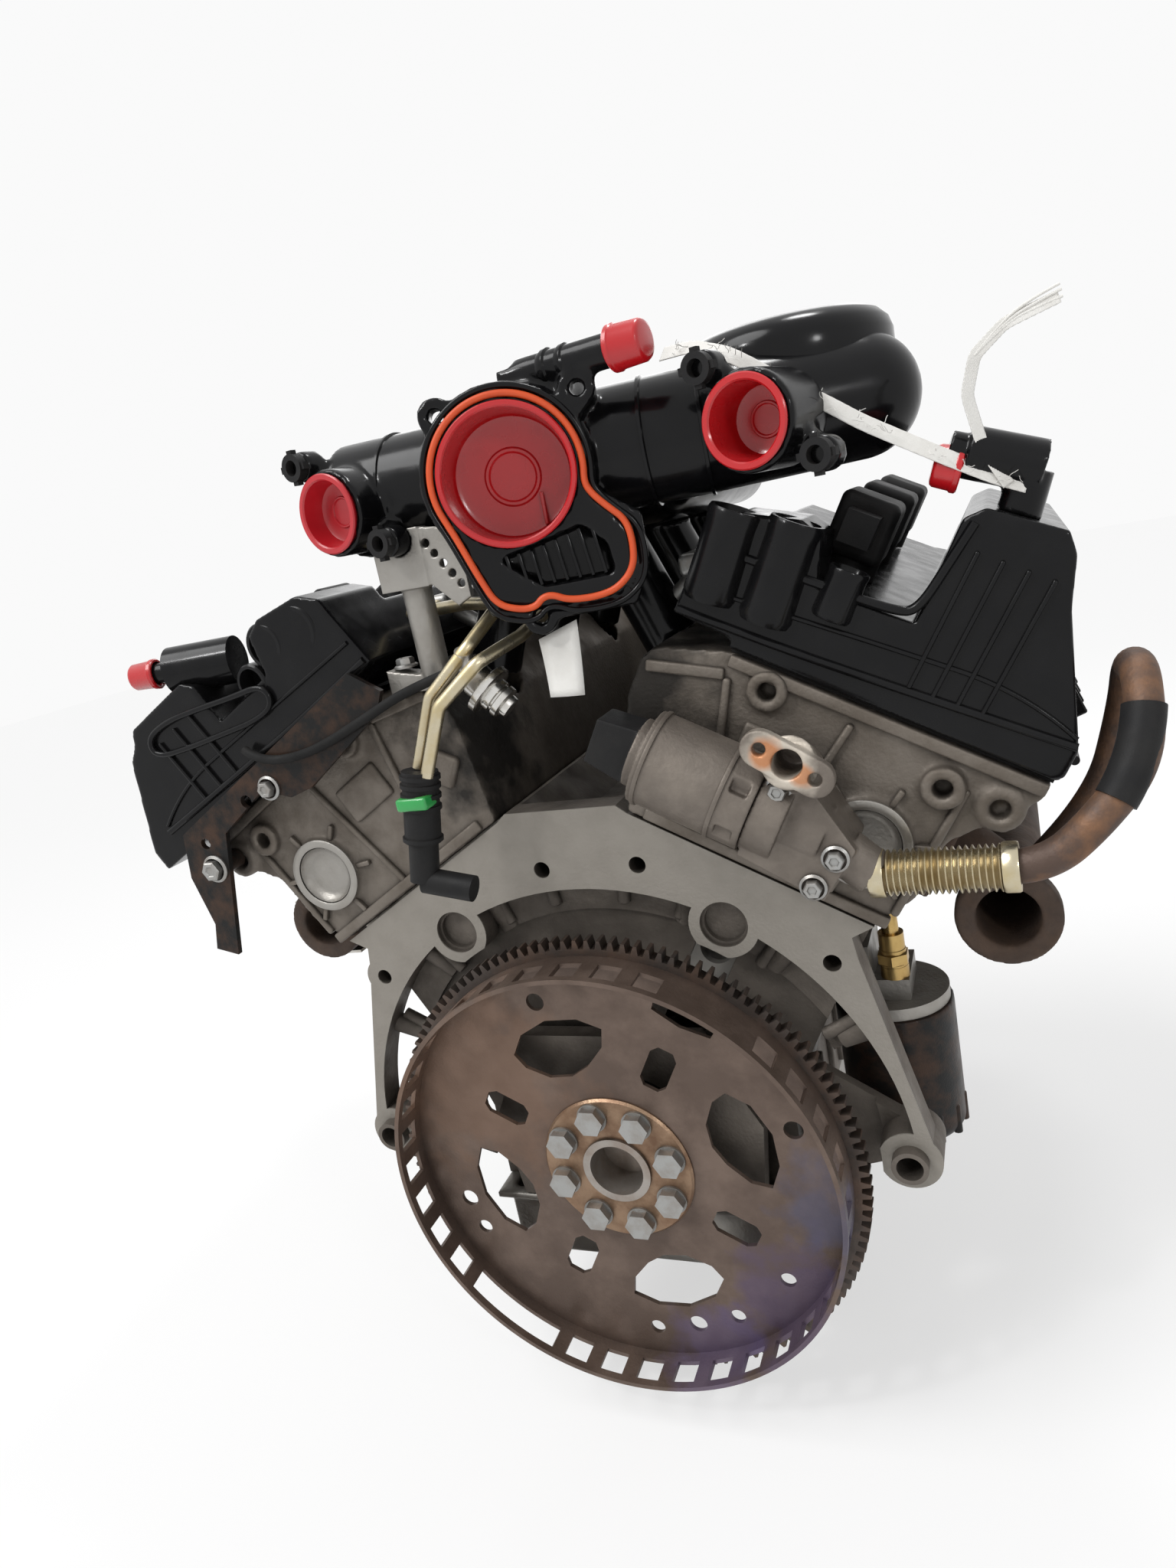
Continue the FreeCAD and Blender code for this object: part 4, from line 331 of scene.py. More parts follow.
REAR_WEBS_Y = 19
REAR_WEBS = ((60, 160, 1.15), (106, 126, 1.17), (140, 78, 1.17), (24, 172, 1.13))
CORE_PLUGS_X, CORE_PLUGS_Z = 118, 60
CORE_PLUG_STATIONS = (70, 176, 282)
BOSS = [(-3, 26), (2, 26), (3, 25), (3, 21), (1, 19.5), (-3, 19.5)]
PLUG = [(-4, .01), (-4, 15), (-3, 17.6), (2, 18.6), (2.6, 18), (2, 17)]
RIB_HALF, SKIRT_IN, SKIRT_OUT = 2, 108, 116
webs, plugs, side_ribs, sump_bolts = [], [], [], []
for side in (-1, 1):
    for reach, height, outer in REAR_WEBS:
        begin = np.array((side * reach, REAR_WEBS_Y, height))
        end = np.array((side * reach * outer, REAR_WEBS_Y, height * outer))
        web = [(0, 3.2), (1, 4.2), (np.linalg.norm(end - begin), 4.2)]
        webs.append(lathe(web, begin, end - begin, 20))
    for y in CORE_PLUG_STATIONS:
        webs.append(lathe(BOSS, (side * CORE_PLUGS_X, y, CORE_PLUGS_Z), (side, 0, -.3), 56))
        plugs.append(lathe(PLUG, (side * (CORE_PLUGS_X + .5), y, CORE_PLUGS_Z),
                           (side, 0, -.3), 56))
    for y in range(40, 372, 36):
        low_x, high_x = sorted((side * SKIRT_IN, side * SKIRT_OUT))
        side_ribs.append(rounded_box((low_x, y - RIB_HALF, -40), (high_x, y + RIB_HALF, 10)))
        points, faces = rounded_box((side * 150 - 30, y - RIB_HALF, 102),
                                    (side * 150 + 30, y + RIB_HALF, 108))
        side_ribs.append((turned(points, -side * 62, "Y", (side * 150, y, 105)), faces))
    for y in range(16, 380, 40):
        sump_bolts.append(hex_bolt((side * 106, y, -51), (0, 0, -1), 10, 6, 8))
add_mesh("block_webs", *merged(webs), cast_block)
add_mesh("block_core_plugs", *merged(plugs), cast_light)
add_mesh("block_side_ribs", *merged(side_ribs), cast_block)
add_mesh("sump_bolts", *merged(sump_bolts), bolt)
FRONT_Y = 428
FRONT_BOLTS = ((-90, -30), (90, -30), (-120, 60), (120, 60), (-150, 130), (150, 130),
               (-236, 250), (236, 250), (-200, 300), (200, 300), (-30, 150), (-60, 210),
               (70, 210), (0, 200))
front_bolts = [hex_bolt((x, FRONT_Y, z), (0, 1, 0), 10, 6, 8) for x, z in FRONT_BOLTS]
add_mesh("front_bolts", *merged(front_bolts), bolt)

# ---- crankshaft, rods and pistons ---------------------------------------------------------------
# The crank and rods are forged steel, bright where they run in their bearing shells. The pistons
# and the oil pump are light alloy, and lip seals of rubber keep the oil in at both ends.
DARK_SPECULAR = .14
forged = aged_and_shaded_finish(
    "forged", (.36, .33, .30), (.24, .18, .14), (.05, .04, .03), mottle=(50, .6), hollow_shade_and_dirt=.6,
    grain=(500, .3), roughness=(.35, .55), metallic=.8)
rubber = aged_and_shaded_finish(
    "rubber", (.012, .012, .012), (.022, .021, .020), (.03, .026, .023), mottle=(50, .5), hollow_shade_and_dirt=.3,
    grain=(1200, .2), roughness=(.6, .8), specular=DARK_SPECULAR)
dress(forged, "main_bearings", "crankshaft", "crank_nose_parts", "connecting_rods")
dress(cast_light, "pistons", "oil_pump")
dress(rubber, "crank_seals")

# ---- flexplate, ring gear and hub ---------------------------------------------------------------
# A pressed steel plate, blued by heat in patches, with a toothed ring shrunk and welded on its
# edge. Bolts through a spacer ring hold it to the crank's flange.
flexplate = aged_and_shaded_finish(
    "flexplate", (.11, .078, .062), (.185, .135, .108), (.035, .024, .02), mottle=(20, .8), hollow_shade_and_dirt=.7,
    grain=(500, .3), roughness=(.38, .62), metallic=.6)
gear = aged_and_shaded_finish(
    "gear", (.085, .07, .062), (.17, .11, .08), (.02, .017, .015), mottle=(40, .7), hollow_shade_and_dirt=.6,
    grain=(500, .3), roughness=(.38, .6), metallic=.7)
hub = aged_and_shaded_finish(
    "hub", (.30, .20, .13), (.18, .10, .06), (.05, .03, .02), mottle=(60, .8), hollow_shade_and_dirt=.6,
    grain=(600, .3), roughness=(.3, .5), metallic=.8)
tint, tin, tout = new_group("tint_spot", [
    ("Color", "Color", None), ("Spot Color", "Color", None),
    ("Centre", "Vector", None), ("Reach", "Float", 0.05),
    ("Amount", "Float", 1)], [("Color", "Color")])
# A spot fades out from its centre: the distance over the reach, made wavy by a noise.
tint_place = tint.nodes.new("ShaderNodeTexCoord").outputs["Object"]
away = tint.nodes.new("ShaderNodeVectorMath")
away.operation = "DISTANCE"
tint.links.new(tint_place, away.inputs[0])
tint.links.new(tin.outputs["Centre"], away.inputs[1])
ripple = node(tint, "ShaderNodeTexNoise", Scale=45, Detail=5)
tint.links.new(tint_place, ripple.inputs["Vector"])
near = reckon(tint, "DIVIDE", away.outputs["Value"], tin.outputs["Reach"])
wavy = reckon(tint, "ADD", near, span(tint, ripple.outputs["Fac"], 0.3, 0.7, -0.35, 0.35))
inside = reckon(tint, "MULTIPLY", span(tint, wavy, 0.5, 1.0, 1, 0), tin.outputs["Amount"])
tint.links.new(mix_colour(tint, inside, tin.outputs["Color"], tin.outputs["Spot Color"]),
               tout.inputs["Color"])


def spotted(name, plain, spots):
    """A copy of a finish with soft spots, each (colour, centre, reach, amount) in millimetres."""
    made = plain.copy()
    made.name = name
    for colour, centre, reach, amount in spots:
        pass_through(made, tint, {"Spot Color": (*colour, 1), "Centre": [c * MM for c in centre],
                                  "Reach": reach * MM, "Amount": amount})
    return made


flexplate_tinted = spotted("flexplate_tinted", flexplate, [
    ((.10, .075, .15), (110, -30, -100), 60, .55), ((.14, .11, .20), (50, -30, -140), 45, .55),
    ((.08, .09, .16), (140, -35, -20), 45, .5), ((.20, .12, .08), (-90, -20, 60), 90, .5)])
dress(flexplate_tinted, "flexplate")
dress(gear, "ring_gear", "crank_damper")
dress(hub, "hub_ring")
dress(bolt, "flexplate_bolts")

# ---- sump, filter and sender --------------------------------------------------------------------
# The sump is cast light alloy and bolted under the block. The filter is a black painted steel can
# with flutes pressed for the wrench, spun on its adapter, and a brass pressure sender screws in.
black_paint = aged_and_shaded_finish(
    "black_paint", (.010, .010, .010), (.10, .05, .028), (.03, .022, .018), mottle=(55, .45),
    hollow_shade_and_dirt=.4, grain=(800, .25), roughness=(.3, .5), metallic=.1, coat=.1, specular=DARK_SPECULAR)
brass = aged_and_shaded_finish(
    "brass", (.52, .36, .14), (.36, .22, .08), (.10, .06, .03), mottle=(80, .6), hollow_shade_and_dirt=.5,
    grain=(900, .15), roughness=(.25, .45), metallic=.95)


def recast(node_name, voxel, finish, relax=4, keep=1.0):
    """A copy of a CAD node with the rounded edges and soft blends of a casting or a moulding: it
    is made again in cubes of the voxel's size, eased, and thinned to the share that is kept."""
    source = NODES[node_name]
    data = source.data.copy()
    data.transform(source.matrix_world)
    made = placed(node_name + "_cast", data)
    remesh = made.modifiers.new("blend", "REMESH")
    remesh.mode = "VOXEL"
    remesh.voxel_size = voxel * MM
    ease = made.modifiers.new("ease", "SMOOTH")
    ease.factor = .5
    ease.iterations = relax
    if keep < 1:
        thin = made.modifiers.new("thin", "DECIMATE")
        thin.ratio = keep
    settled = made.evaluated_get(bpy.context.evaluated_depsgraph_get())
    baked = bpy.data.meshes.new_from_object(settled)
    made.modifiers.clear()
    made.data = baked
    baked.name = node_name + "_cast"
    baked.materials.clear()
    baked.materials.append(finish)
    baked.shade_smooth()
    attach(made, "engine")
    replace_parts(made, node_name)
    return made


dress(cast_light, "oil_pan", "filter_adapter")
dress(black_paint, "oil_filter")
dress(brass, "pressure_sender")
recast("oil_pan", 2.0, cast_light, relax=3, keep=.4)
recast("oil_filter", 1.6, black_paint)
FILTER_X, FILTER_Y, FLUTE_BASE = 176, 78, -16
FLUTES, FLUTE_REACH = 14, 36
flutes = []
for k in range(FLUTES):
    angle = 2 * math.pi * k / FLUTES
    spot = (FILTER_X + FLUTE_REACH * math.cos(angle), FILTER_Y + FLUTE_REACH * math.sin(angle),
            FLUTE_BASE)
    flutes.append(lathe([(-1, .01), (-1, 3), (18, 3), (22, .01)], spot, (0, 0, 1), 12))
add_mesh("filter_flutes", *merged(flutes), black_paint)
SENDER_X, SENDER_Y = 181, 64
SENDER = [(0, 8.4), (10, 8.4), (11, 7.4), (20, 7), (21, 5.4), (36, 5), (36.6, 3), (36.6, .01)]
sender_parts = [hex_bolt((SENDER_X, SENDER_Y, 104.2), (0, 0, 1), 18, 9, 9),
                lathe(SENDER, (SENDER_X, SENDER_Y, 105), (0, 0, 1), 36)]
add_mesh("sender_detail", *merged(sender_parts), brass)

# ---- cylinder heads -----------------------------------------------------------------------------
# Two aluminium castings, leaning 30 degrees each way, bolted down over steel gaskets. Their rear
# faces have rails, webs and pads from the mould, and a pressed plug closes each camshaft's bore.
# The camshafts, rockers and valves inside are iron and steel.
LEAN_DEGREES = 30
LEAN = math.radians(LEAN_DEGREES)
cast_head = aged_and_shaded_finish(
    "cast_head", (.175, .152, .128), (.115, .095, .076), (.026, .021, .017), mottle=(30, .75),
    hollow_shade_and_dirt=.9, grain=(420, .6), roughness=(.45, .7), metallic=.5)
machined = aged_and_shaded_finish(
    "machined", (.55, .52, .47), (.42, .36, .29), (.10, .08, .06), mottle=(34, .6), hollow_shade_and_dirt=.5,
    grain=(900, .12), roughness=(.28, .45), metallic=.9)
# The heads' finish with two dark spots over the valley between the banks: painted shade where the
# valley lies in shadow.
head_valley_shade = spotted("head_valley_shade", cast_head, [
    ((.016, .014, .012), (-30, 30, 300), 80, .95), ((.016, .014, .012), (60, 20, 315), 60, .9)])
dress(cast_head, "cylinder_head_left", "cylinder_head_right")
dress(machined, "head_gaskets")
dress(forged, "valves_and_springs", "rocker_gear", "camshaft_left", "camshaft_right")


def upright(side, across, station, height):
    """A point given in a bank's own upright frame, as x, y and z of the engine: the frame is
    turned outwards by the lean."""
    outward = across * math.cos(LEAN) + height * math.sin(LEAN)
    return (side * outward, station, height * math.cos(LEAN) - across * math.sin(LEAN))


def leaning(side, across, up):
    """A direction given across and up in a bank's own frame."""
    return upright(side, across, 0, up)


def leaned_box(side, across, station, height, edge=1.5, spin=0):
    """A rounded box given in a bank's own frame, spun about its middle and then leaned."""
    low = np.array((side * across[0], station[0], height[0]), float)
    high = np.array((side * across[1], station[1], height[1]), float)
    low[0], high[0] = min(low[0], high[0]), max(low[0], high[0])
    points, faces = rounded_box(low, high, edge)
    points = turned(points, spin, "Y", (low + high) / 2)
    return turned(points, LEAN_DEGREES * side, "Y"), faces


BANKS = (("left", -1), ("right", 1))
CAM_PLUG_ACROSS, CAM_PLUG_HEIGHT, CAM_PLUG_Y = 53, 274, -4.6
SPOKE_CIRCLE, SPOKE_LONG, SPOKE_THICK = 31, 6, 1.8
RING = [(0, 20.6), (0, 26), (1.4, 26), (2, 25.2), (2, 21.4), (1.4, 20.6)]
DISH = [(-5, .01), (-5, 14), (-4.2, 17), (-1, 19.6), (.4, 20.4), (.9, 19.9)]
for side_name, side in BANKS:
    recast("cylinder_head_" + side_name, 2.1, head_valley_shade, relax=3, keep=.45)
    relief = [leaned_box(side, (-55, 124), (-4.5, 3), (337, 344.5)),
              leaned_box(side, (-70, 84), (-3.2, 3), (230.5, 238)),
              leaned_box(side, (-100, -54), (-3, 3), (322, 329), spin=-side * 16),
              leaned_box(side, (10, 14.5), (-3.2, 3), (236, 334), 2, side * 9),
              leaned_box(side, (-44, -39), (-3.2, 3), (240, 332), 2, -side * 14),
              leaned_box(side, (84, 89), (-3.2, 3), (240, 325), 2, side * 3),
              leaned_box(side, (-34, 6), (-2.6, 3), (286, 312), 3),
              leaned_box(side, (-84, -62), (-4, 3), (266, 292), 3, side * 34)]
    for spoke in range(20, 380, 60):
        across = CAM_PLUG_ACROSS + SPOKE_CIRCLE * math.cos(math.radians(spoke))
        height = CAM_PLUG_HEIGHT + SPOKE_CIRCLE * math.sin(math.radians(spoke))
        relief.append(leaned_box(side, (across - SPOKE_LONG, across + SPOKE_LONG), (-3.4, 3),
                                 (height - SPOKE_THICK, height + SPOKE_THICK), 1.2,
                                 -side * spoke))
    add_mesh("head_relief_" + side_name, *merged(relief), cast_head)
    centre = upright(side, CAM_PLUG_ACROSS, CAM_PLUG_Y, CAM_PLUG_HEIGHT)
    add_mesh("cup_plug_" + side_name,
             *merged([lathe(form, centre, (0, -1, 0)) for form in (RING, DISH)]), cast_light)

# ---- exhaust manifolds --------------------------------------------------------------------------
# Iron castings, dark and scaled with rust, held on studs by nuts that have rusted with them. A
# bright pressed heat shield covers the left one.
rust = aged_and_shaded_finish(
    "rust", (.048, .032, .024), (.085, .052, .034), (.035, .02, .015), mottle=(35, .85), hollow_shade_and_dirt=.7,
    grain=(350, .8), roughness=(.7, .9), metallic=.15)
shield = aged_and_shaded_finish(
    "shield", (.62, .60, .56), (.45, .40, .34), (.12, .10, .08), mottle=(50, .6), hollow_shade_and_dirt=.5,
    grain=(130, .7), roughness=(.2, .4), metallic=.95)
dress(rust, "exhaust_manifold_left", "exhaust_manifold_right")
dress(shield, "exhaust_heat_shield")
STUD_PITCH, STUD_HALF, STUD_ACROSS, STUD_HEIGHT = 106, 26, 101, 267
nuts = []
for side_name, side in BANKS:
    recast("exhaust_manifold_" + side_name, 1.6, rust, relax=5, keep=.6)
    first_port = 97 if side < 0 else 71
    for port in range(3):
        for offset in (-STUD_HALF, STUD_HALF):
            station = first_port + STUD_PITCH * port + offset
            nuts.append(hex_bolt(upright(side, STUD_ACROSS, station, STUD_HEIGHT),
                                 leaning(side, 1, 0), 12, 8, 8, 4))
add_mesh("manifold_nuts", *merged(nuts), rust)

# ---- valve covers -------------------------------------------------------------------------------
# Black glass-filled plastic mouldings with folds, beads and scoops, bolted over rubber gaskets.
# The left cover has open scoops and a looped bead, the right one upright scoops and a long sill.
moulding = aged_and_shaded_finish(
    "moulding", (.004, .004, .0045), (.009, .009, .0095), (.022, .020, .018), mottle=(30, .4),
    hollow_shade_and_dirt=.2, grain=(1500, .06), roughness=(.17, .30), coat=.12, specular=DARK_SPECULAR)


def add_run(line, points):
    """A smooth curve led by route points in millimetres, added to a line."""
    run = line.splines.new("NURBS")
    run.points.add(len(points) - 1)
    for held, point in zip(run.points, points):
        held.co = (*[c * MM for c in point], 1)
    run.order_u = 3
    run.use_endpoint_u = True
    return run


def tube(name, points, radius, finish, sides=6, closed=False):
    """A round tube of one run of a line; a closed one is joined up after it is placed."""
    line = bpy.data.curves.new(name, "CURVE")
    line.dimensions = "3D"
    run = add_run(line, points)
    run.resolution_u = 10
    line.bevel_depth = radius * MM
    line.bevel_resolution = sides
    line.use_fill_caps = True
    line.materials.append(finish)
    made = placed(name, line)
    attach(made, "engine")
    if closed:
        run.use_cyclic_u = True
        run.use_endpoint_u = False
    return made


dress(moulding, "valve_cover_left", "valve_cover_right", "oil_filler_cap")
dress(rubber, "cover_gaskets")
OUTER_BOLTS, INNER_BOLTS = (12, 100, 190, 280, 360), (16, 110, 200, 290, 358)
RIB_HALF_WIDTH, FOLD_HALF_WIDTH = 1.5, 1.3
FOLDS = {"left": ((-22.5, -15), 416, (44, 62, 80)), "right": ((-6.5, 0), 440, (40, 53, 66, 79))}
BEAD_Y = {"left": -20.6, "right": -4.6}
BEAD = ((-92, 357), (-40, 358), (20, 361), (80, 365), (126, 368))
BROW = ((-90, 372), (-30, 376), (24, 380), (92, 384), (124, 372))
RAIL = ((129, 2, 360), (130, 120, 360), (130, 250, 360), (129, 366, 360))
for side_name, side in BANKS:
    recast("valve_cover_" + side_name, 1.5, moulding, relax=4, keep=.34)
    bolts = [hex_bolt(upright(side, 112, y, 371), leaning(side, .1, 1), 10, 7, 8.5, 3)
             for y in OUTER_BOLTS]
    bolts += [hex_bolt(upright(side, -82, y, 357.5), leaning(side, 0, 1), 10, 7, 8.5, 3)
              for y in INNER_BOLTS]
    add_mesh("cover_bolts_" + side_name, *merged(bolts), black_paint)
    stations, top, spots = FOLDS[side_name]
    folds = [leaned_box(side, (x - FOLD_HALF_WIDTH, x + FOLD_HALF_WIDTH), stations, (364, top),
                        1.1, side * 2) for x in spots]
    add_mesh("cover_folds_" + side_name, *merged(folds), moulding)
    rear = BEAD_Y[side_name]
    tube("cover_bead_" + side_name, [upright(side, x, rear, z) for x, z in BEAD], 2.4, moulding)
    tube("cover_brow_" + side_name, [upright(side, x, rear, z) for x, z in BROW], 1.3, moulding)
    tube("cover_rail_" + side_name, [upright(side, *spot) for spot in RAIL], 2.6, moulding)
    long_ribs = [leaned_box(side, (96, 124), (y - RIB_HALF_WIDTH, y + RIB_HALF_WIDTH),
                            (372, 392), 1.2, side * 38) for y in range(24, 360, 24)]
    add_mesh("cover_side_ribs_" + side_name, *merged(long_ribs), moulding)

scoops = []
for across, height, size in ((-64, 401, 17), (-38, 409, 15), (-12, 398, 13)):
    mouth = [(-14, .01), (-13.5, size * .55), (-11, size * .82), (-6, size * .96), (0, size),
             (4, size), (5, size * .93), (5, size * .78), (0, size * .72), (-6, size * .66),
             (-6, .01)]
    scoops.append(lathe(mouth, upright(-1, across, -14, height), (-.12, -1, -.05), 48))
add_mesh("cover_scoops_left", *merged(scoops), moulding)
SCOOP = [(0, 14), (4, 15.6), (46, 14.6), (53, 15.2), (55, 14.4), (55, 12.6), (45, 11.6), (41, 9),
         (40, .01)]
scoops = [lathe([(along * tall, radius) for along, radius in SCOOP],
                upright(1, across, .5, 367), leaning(1, -.05, 1), 48)
          for across, tall in ((-78, .92), (-45, 1.02))]
scoops.append(lathe([(along * .5, radius * .72) for along, radius in SCOOP],
                    upright(1, -13, -1, 382), leaning(1, 0, 1), 40))
add_mesh("cover_scoops_right", *merged(scoops), moulding)
SILL = ((-92, -3.5, 395), (-30, -4, 397), (18, -4, 398), (27, -4, 404), (31, -4, 430),
        (34, -4, 452))
tube("pocket_sill", [upright(1, *spot) for spot in SILL], 2.6, moulding)
LOOP = ((-20, 392), (4, 400), (34, 412), (62, 422), (86, 424), (90, 410), (60, 398), (30, 388),
        (0, 378), (-18, 378))
tube("cover_loop_left", [upright(-1, x, -22, z) for x, z in LOOP], 2.1, moulding, closed=True)

# ---- coils, plugs and the belt end --------------------------------------------------------------
# Moulded coils sit on ceramic spark plugs in the covers' pockets. At the far end a moulded cover
# stands over the timing belt, and the water pump is light alloy with a machined rotor.
matt_black = aged_and_shaded_finish(
    "matt_black", (.014, .014, .0145), (.024, .023, .022), (.035, .03, .027), mottle=(50, .5),
    hollow_shade_and_dirt=.3, grain=(1400, .2), roughness=(.45, .62), specular=DARK_SPECULAR)
ceramic = aged_and_shaded_finish(
    "ceramic", (.78, .77, .74), (.70, .69, .66), (.3, .3, .3), mottle=(40, .3), hollow_shade_and_dirt=.3,
    grain=(900, .05), roughness=(.2, .3), coat=.4)
dress(matt_black, "ignition_coils")
dress(ceramic, "spark_plugs")
dress(moulding, "timing_cover")
dress(rubber, "timing_belt")
dress(cast_light, "water_pump_housing")
dress(machined, "water_pump_rotor")
recast("timing_cover", 2.0, moulding, relax=3, keep=.4)

# ---- intake manifold, dome and breathers --------------------------------------------------------
# The manifold is welded from glossy black plastic mouldings, with a round resonator dome and
# ribbed ducts. It rests on an alloy strut and snap nuts, over the fuel rails. Elbow and valve
# carry its breathers.
glossy = aged_and_shaded_finish(
    "glossy", (.0035, .0035, .004), (.007, .007, .008), (.015, .014, .012), mottle=(20, .4),
    hollow_shade_and_dirt=.12, grain=(1800, .04), roughness=(.13, .24), coat=.15, specular=DARK_SPECULAR)
dress(glossy, "intake_manifold", "breather_elbow")
dress(matt_black, "snap_nuts")
dress(moulding, "breather_valve")
dress(cast_light, "intake_strut")
dress(bolt, "fuel_rails")
recast("intake_manifold", 1.9, glossy, relax=6, keep=.42)
recast("intake_strut", 1.0, cast_light, relax=3, keep=.5)
recast("breather_elbow", 1.0, glossy, relax=5, keep=.6)
DOME_X, DOME_Y, DOME_Z, SEAM_Z = 160, 86, 482, 462
DOME = [(-62, 54), (-30, 59), (-8, 61), (0, 61), (6, 59), (11, 54), (14, 46), (15, 38),
        (15, .01)]
SEAM = [(-1.6, 60.6), (-1, 63), (1, 63), (1.6, 60.6)]
add_mesh("resonator_dome", *lathe(DOME, (DOME_X, DOME_Y, DOME_Z), (0, 0, 1), 96), glossy)
add_mesh("dome_seam", *lathe(SEAM, (DOME_X, DOME_Y, SEAM_Z), (0, 0, 1), 96), glossy)
NIPPLE_AXIS = (65, -12, 0)
NIPPLE = [(0, 8.8), (3, 10), (5, 10), (6, 8.8), (12, 8.8), (14, 9.8), (16, 9.8), (17, 8.8),
          (40, 8.8)]
add_mesh("nipple_rings", *lathe(NIPPLE, (50, -11.1, 492), NIPPLE_AXIS, 48), glossy)
DUCT_RIB = [(-1.2, 33.4), (-.8, 35.2), (.8, 35.2), (1.2, 33.4)]
DUCT_RIBS = (((-62, 14.4, 447.4), (1, -.02, 0)), ((-30, 13.5, 446.8), (1, -.02, 0)),
             ((92, 20.5, 446), (1, .16, 0)), ((122, 27, 446), (1, .2, 0)))
add_mesh("duct_ribs", *merged([lathe(DUCT_RIB, spot, axis) for spot, axis in DUCT_RIBS]), glossy)

# ---- throttle mouth -----------------------------------------------------------------------------
# The throttle's flange faces the rear and is turned to the right about the upright axis. It holds
# an orange rubber seal in its groove and a ribbed pocket below, and has a red transport cup.
red = aged_and_shaded_finish(
    "red", (.47, .006, .010), (.38, .004, .007), (.20, .004, .005), mottle=(30, .4), hollow_shade_and_dirt=.35,
    grain=(1500, .05), roughness=(.22, .34), coat=.35)
orange = aged_and_shaded_finish(
    "orange", (.62, .075, .012), (.50, .05, .01), (.20, .02, .006), mottle=(60, .4), hollow_shade_and_dirt=.3,
    grain=(1200, .15), roughness=(.45, .6))
MOUTH = np.array((28, -37, 442.))
MOUTH_TURN = 18.6
YAW = math.radians(MOUTH_TURN)
OUTWARD = np.array((math.sin(YAW), -math.cos(YAW), 0))
ACROSS = np.array((math.cos(YAW), math.sin(YAW), 0))
LIFT = np.array((0, 0, 1.))


def on_flange(x, z, out=0):
    """A point across, above and out from the middle of the throttle's flange."""
    return MOUTH + ACROSS * x + LIFT * z + OUTWARD * out


def cup(radius, deep, lip):
    """Profile of a moulded plug, from its outer wall over the lip and down to its floor."""
    return [(-deep * .7, radius - .2), (.4, radius), (.9, radius + lip), (2.1, radius + lip + .2),
            (2.8, radius + lip - .5), (2.8, radius - 1.0), (2.0, radius - 1.8), (-3, radius - 2),
            (-deep + 4, radius - 3), (-deep + 1.2, radius - 4), (-deep, radius - 6.5),
            (-deep, radius * .45), (-deep + .9, radius * .42), (-deep + .9, radius * .38),
            (-deep, radius * .35), (-deep, .01)]


dress(red, "throttle_cap")
dress(orange, "throttle_gasket")
tab_points, tab_faces = rounded_box((-1, -1.2, -9), (1, 1.2, 9), .5)
tab = (turned(tab_points, MOUTH_TURN, "Z") + on_flange(14, -20, -31), tab_faces)
deep_cup = lathe(cup(36.2, 33, 1.4), MOUTH, OUTWARD, 96)
throttle_cup = add_mesh("throttle_cup", *merged([deep_cup, tab]), red)
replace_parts(throttle_cup, "throttle_cap")
SEAL_RADIUS = 41.4
arc = [(SEAL_RADIUS * math.cos(math.radians(a)), SEAL_RADIUS * math.sin(math.radians(a)))
       for a in range(-16, 214, 14)]
foot = [(-33.5, -27), (-25, -52), (-19, -66), (-6, -71), (2, -70.5), (6, -66.5), (12, -66),
        (20, -70.5), (36, -71.5), (48, -69), (58, -60), (60, -46), (58, -34), (50, -26),
        (43, -18)]
bead_route = [on_flange(x, z, .2) for x, z in arc + foot]
bead = tube("throttle_bead", bead_route, 1.9, orange, closed=True)
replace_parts(bead, "throttle_gasket")
rim_route = [on_flange(x * 1.1, z * (1.1 if z > 0 else 1.08) - (1 if z < -50 else 0), -.6)
             for x, z in arc + foot]
tube("flange_rim", rim_route, 1.6, glossy, closed=True)
POCKET_RIBS, RIB_PITCH, POCKET_FLOOR = 8, 7, -60
ribs = []
for k in range(POCKET_RIBS):
    x = -8 + RIB_PITCH * k
    top = -41 + max(0, x - 6) * .25
    half = (top - POCKET_FLOOR) / 2
    points, faces = rounded_box((-.9, -4, -half), (.9, 4, half), .5, 2)
    points = turned(turned(points, -8, "Y"), MOUTH_TURN, "Z")
    ribs.append((points + on_flange(x, (top + POCKET_FLOOR) / 2, -4.6), faces))
add_mesh("flange_ribs", *merged(ribs), glossy)

# ---- vent cups and breather caps ----------------------------------------------------------------
# Soft red plastic plugs, pushed into the open ends of the ducts and over the breather pipes so
# that nothing falls in on the way. They have a floor, a lip and a ring moulded in.
pink_red = aged_and_shaded_finish(
    "pink_red", (.44, .010, .018), (.36, .007, .013), (.22, .01, .012), mottle=(30, .4), hollow_shade_and_dirt=.35,
    grain=(1500, .05), roughness=(.28, .4), coat=.25)
dress(red, "breather_caps")
dress(pink_red, "vent_caps")
VENT_YAW = math.radians(-14)
VENT_OUT = np.array((math.sin(VENT_YAW), -math.cos(VENT_YAW), 0))
shallow = lathe(cup(20.7, 11, 2), (-90, -32, 442.5), VENT_OUT)
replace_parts(add_mesh("vent_cup_left", *shallow, pink_red), "vent_caps")
add_mesh("vent_cup_right", *lathe(cup(20.7, 25, 2), (157, -32, 442.5), VENT_OUT), red)


def push_cap(name, spot, axis, radius, deep):
    """A closed red cap: a lip, a straight wall and a rounded end, turned about its pipe's axis."""
    profile = [(0, radius - 1.6), (0, radius - .4), (.8, radius + .4), (3, radius + .4),
               (4, radius - .4), (deep - 2, radius - 1), (deep - .6, radius - 2),
               (deep, radius - 4), (deep, .01)]
    return add_mesh(name, *lathe(profile, spot, axis, 40), red)


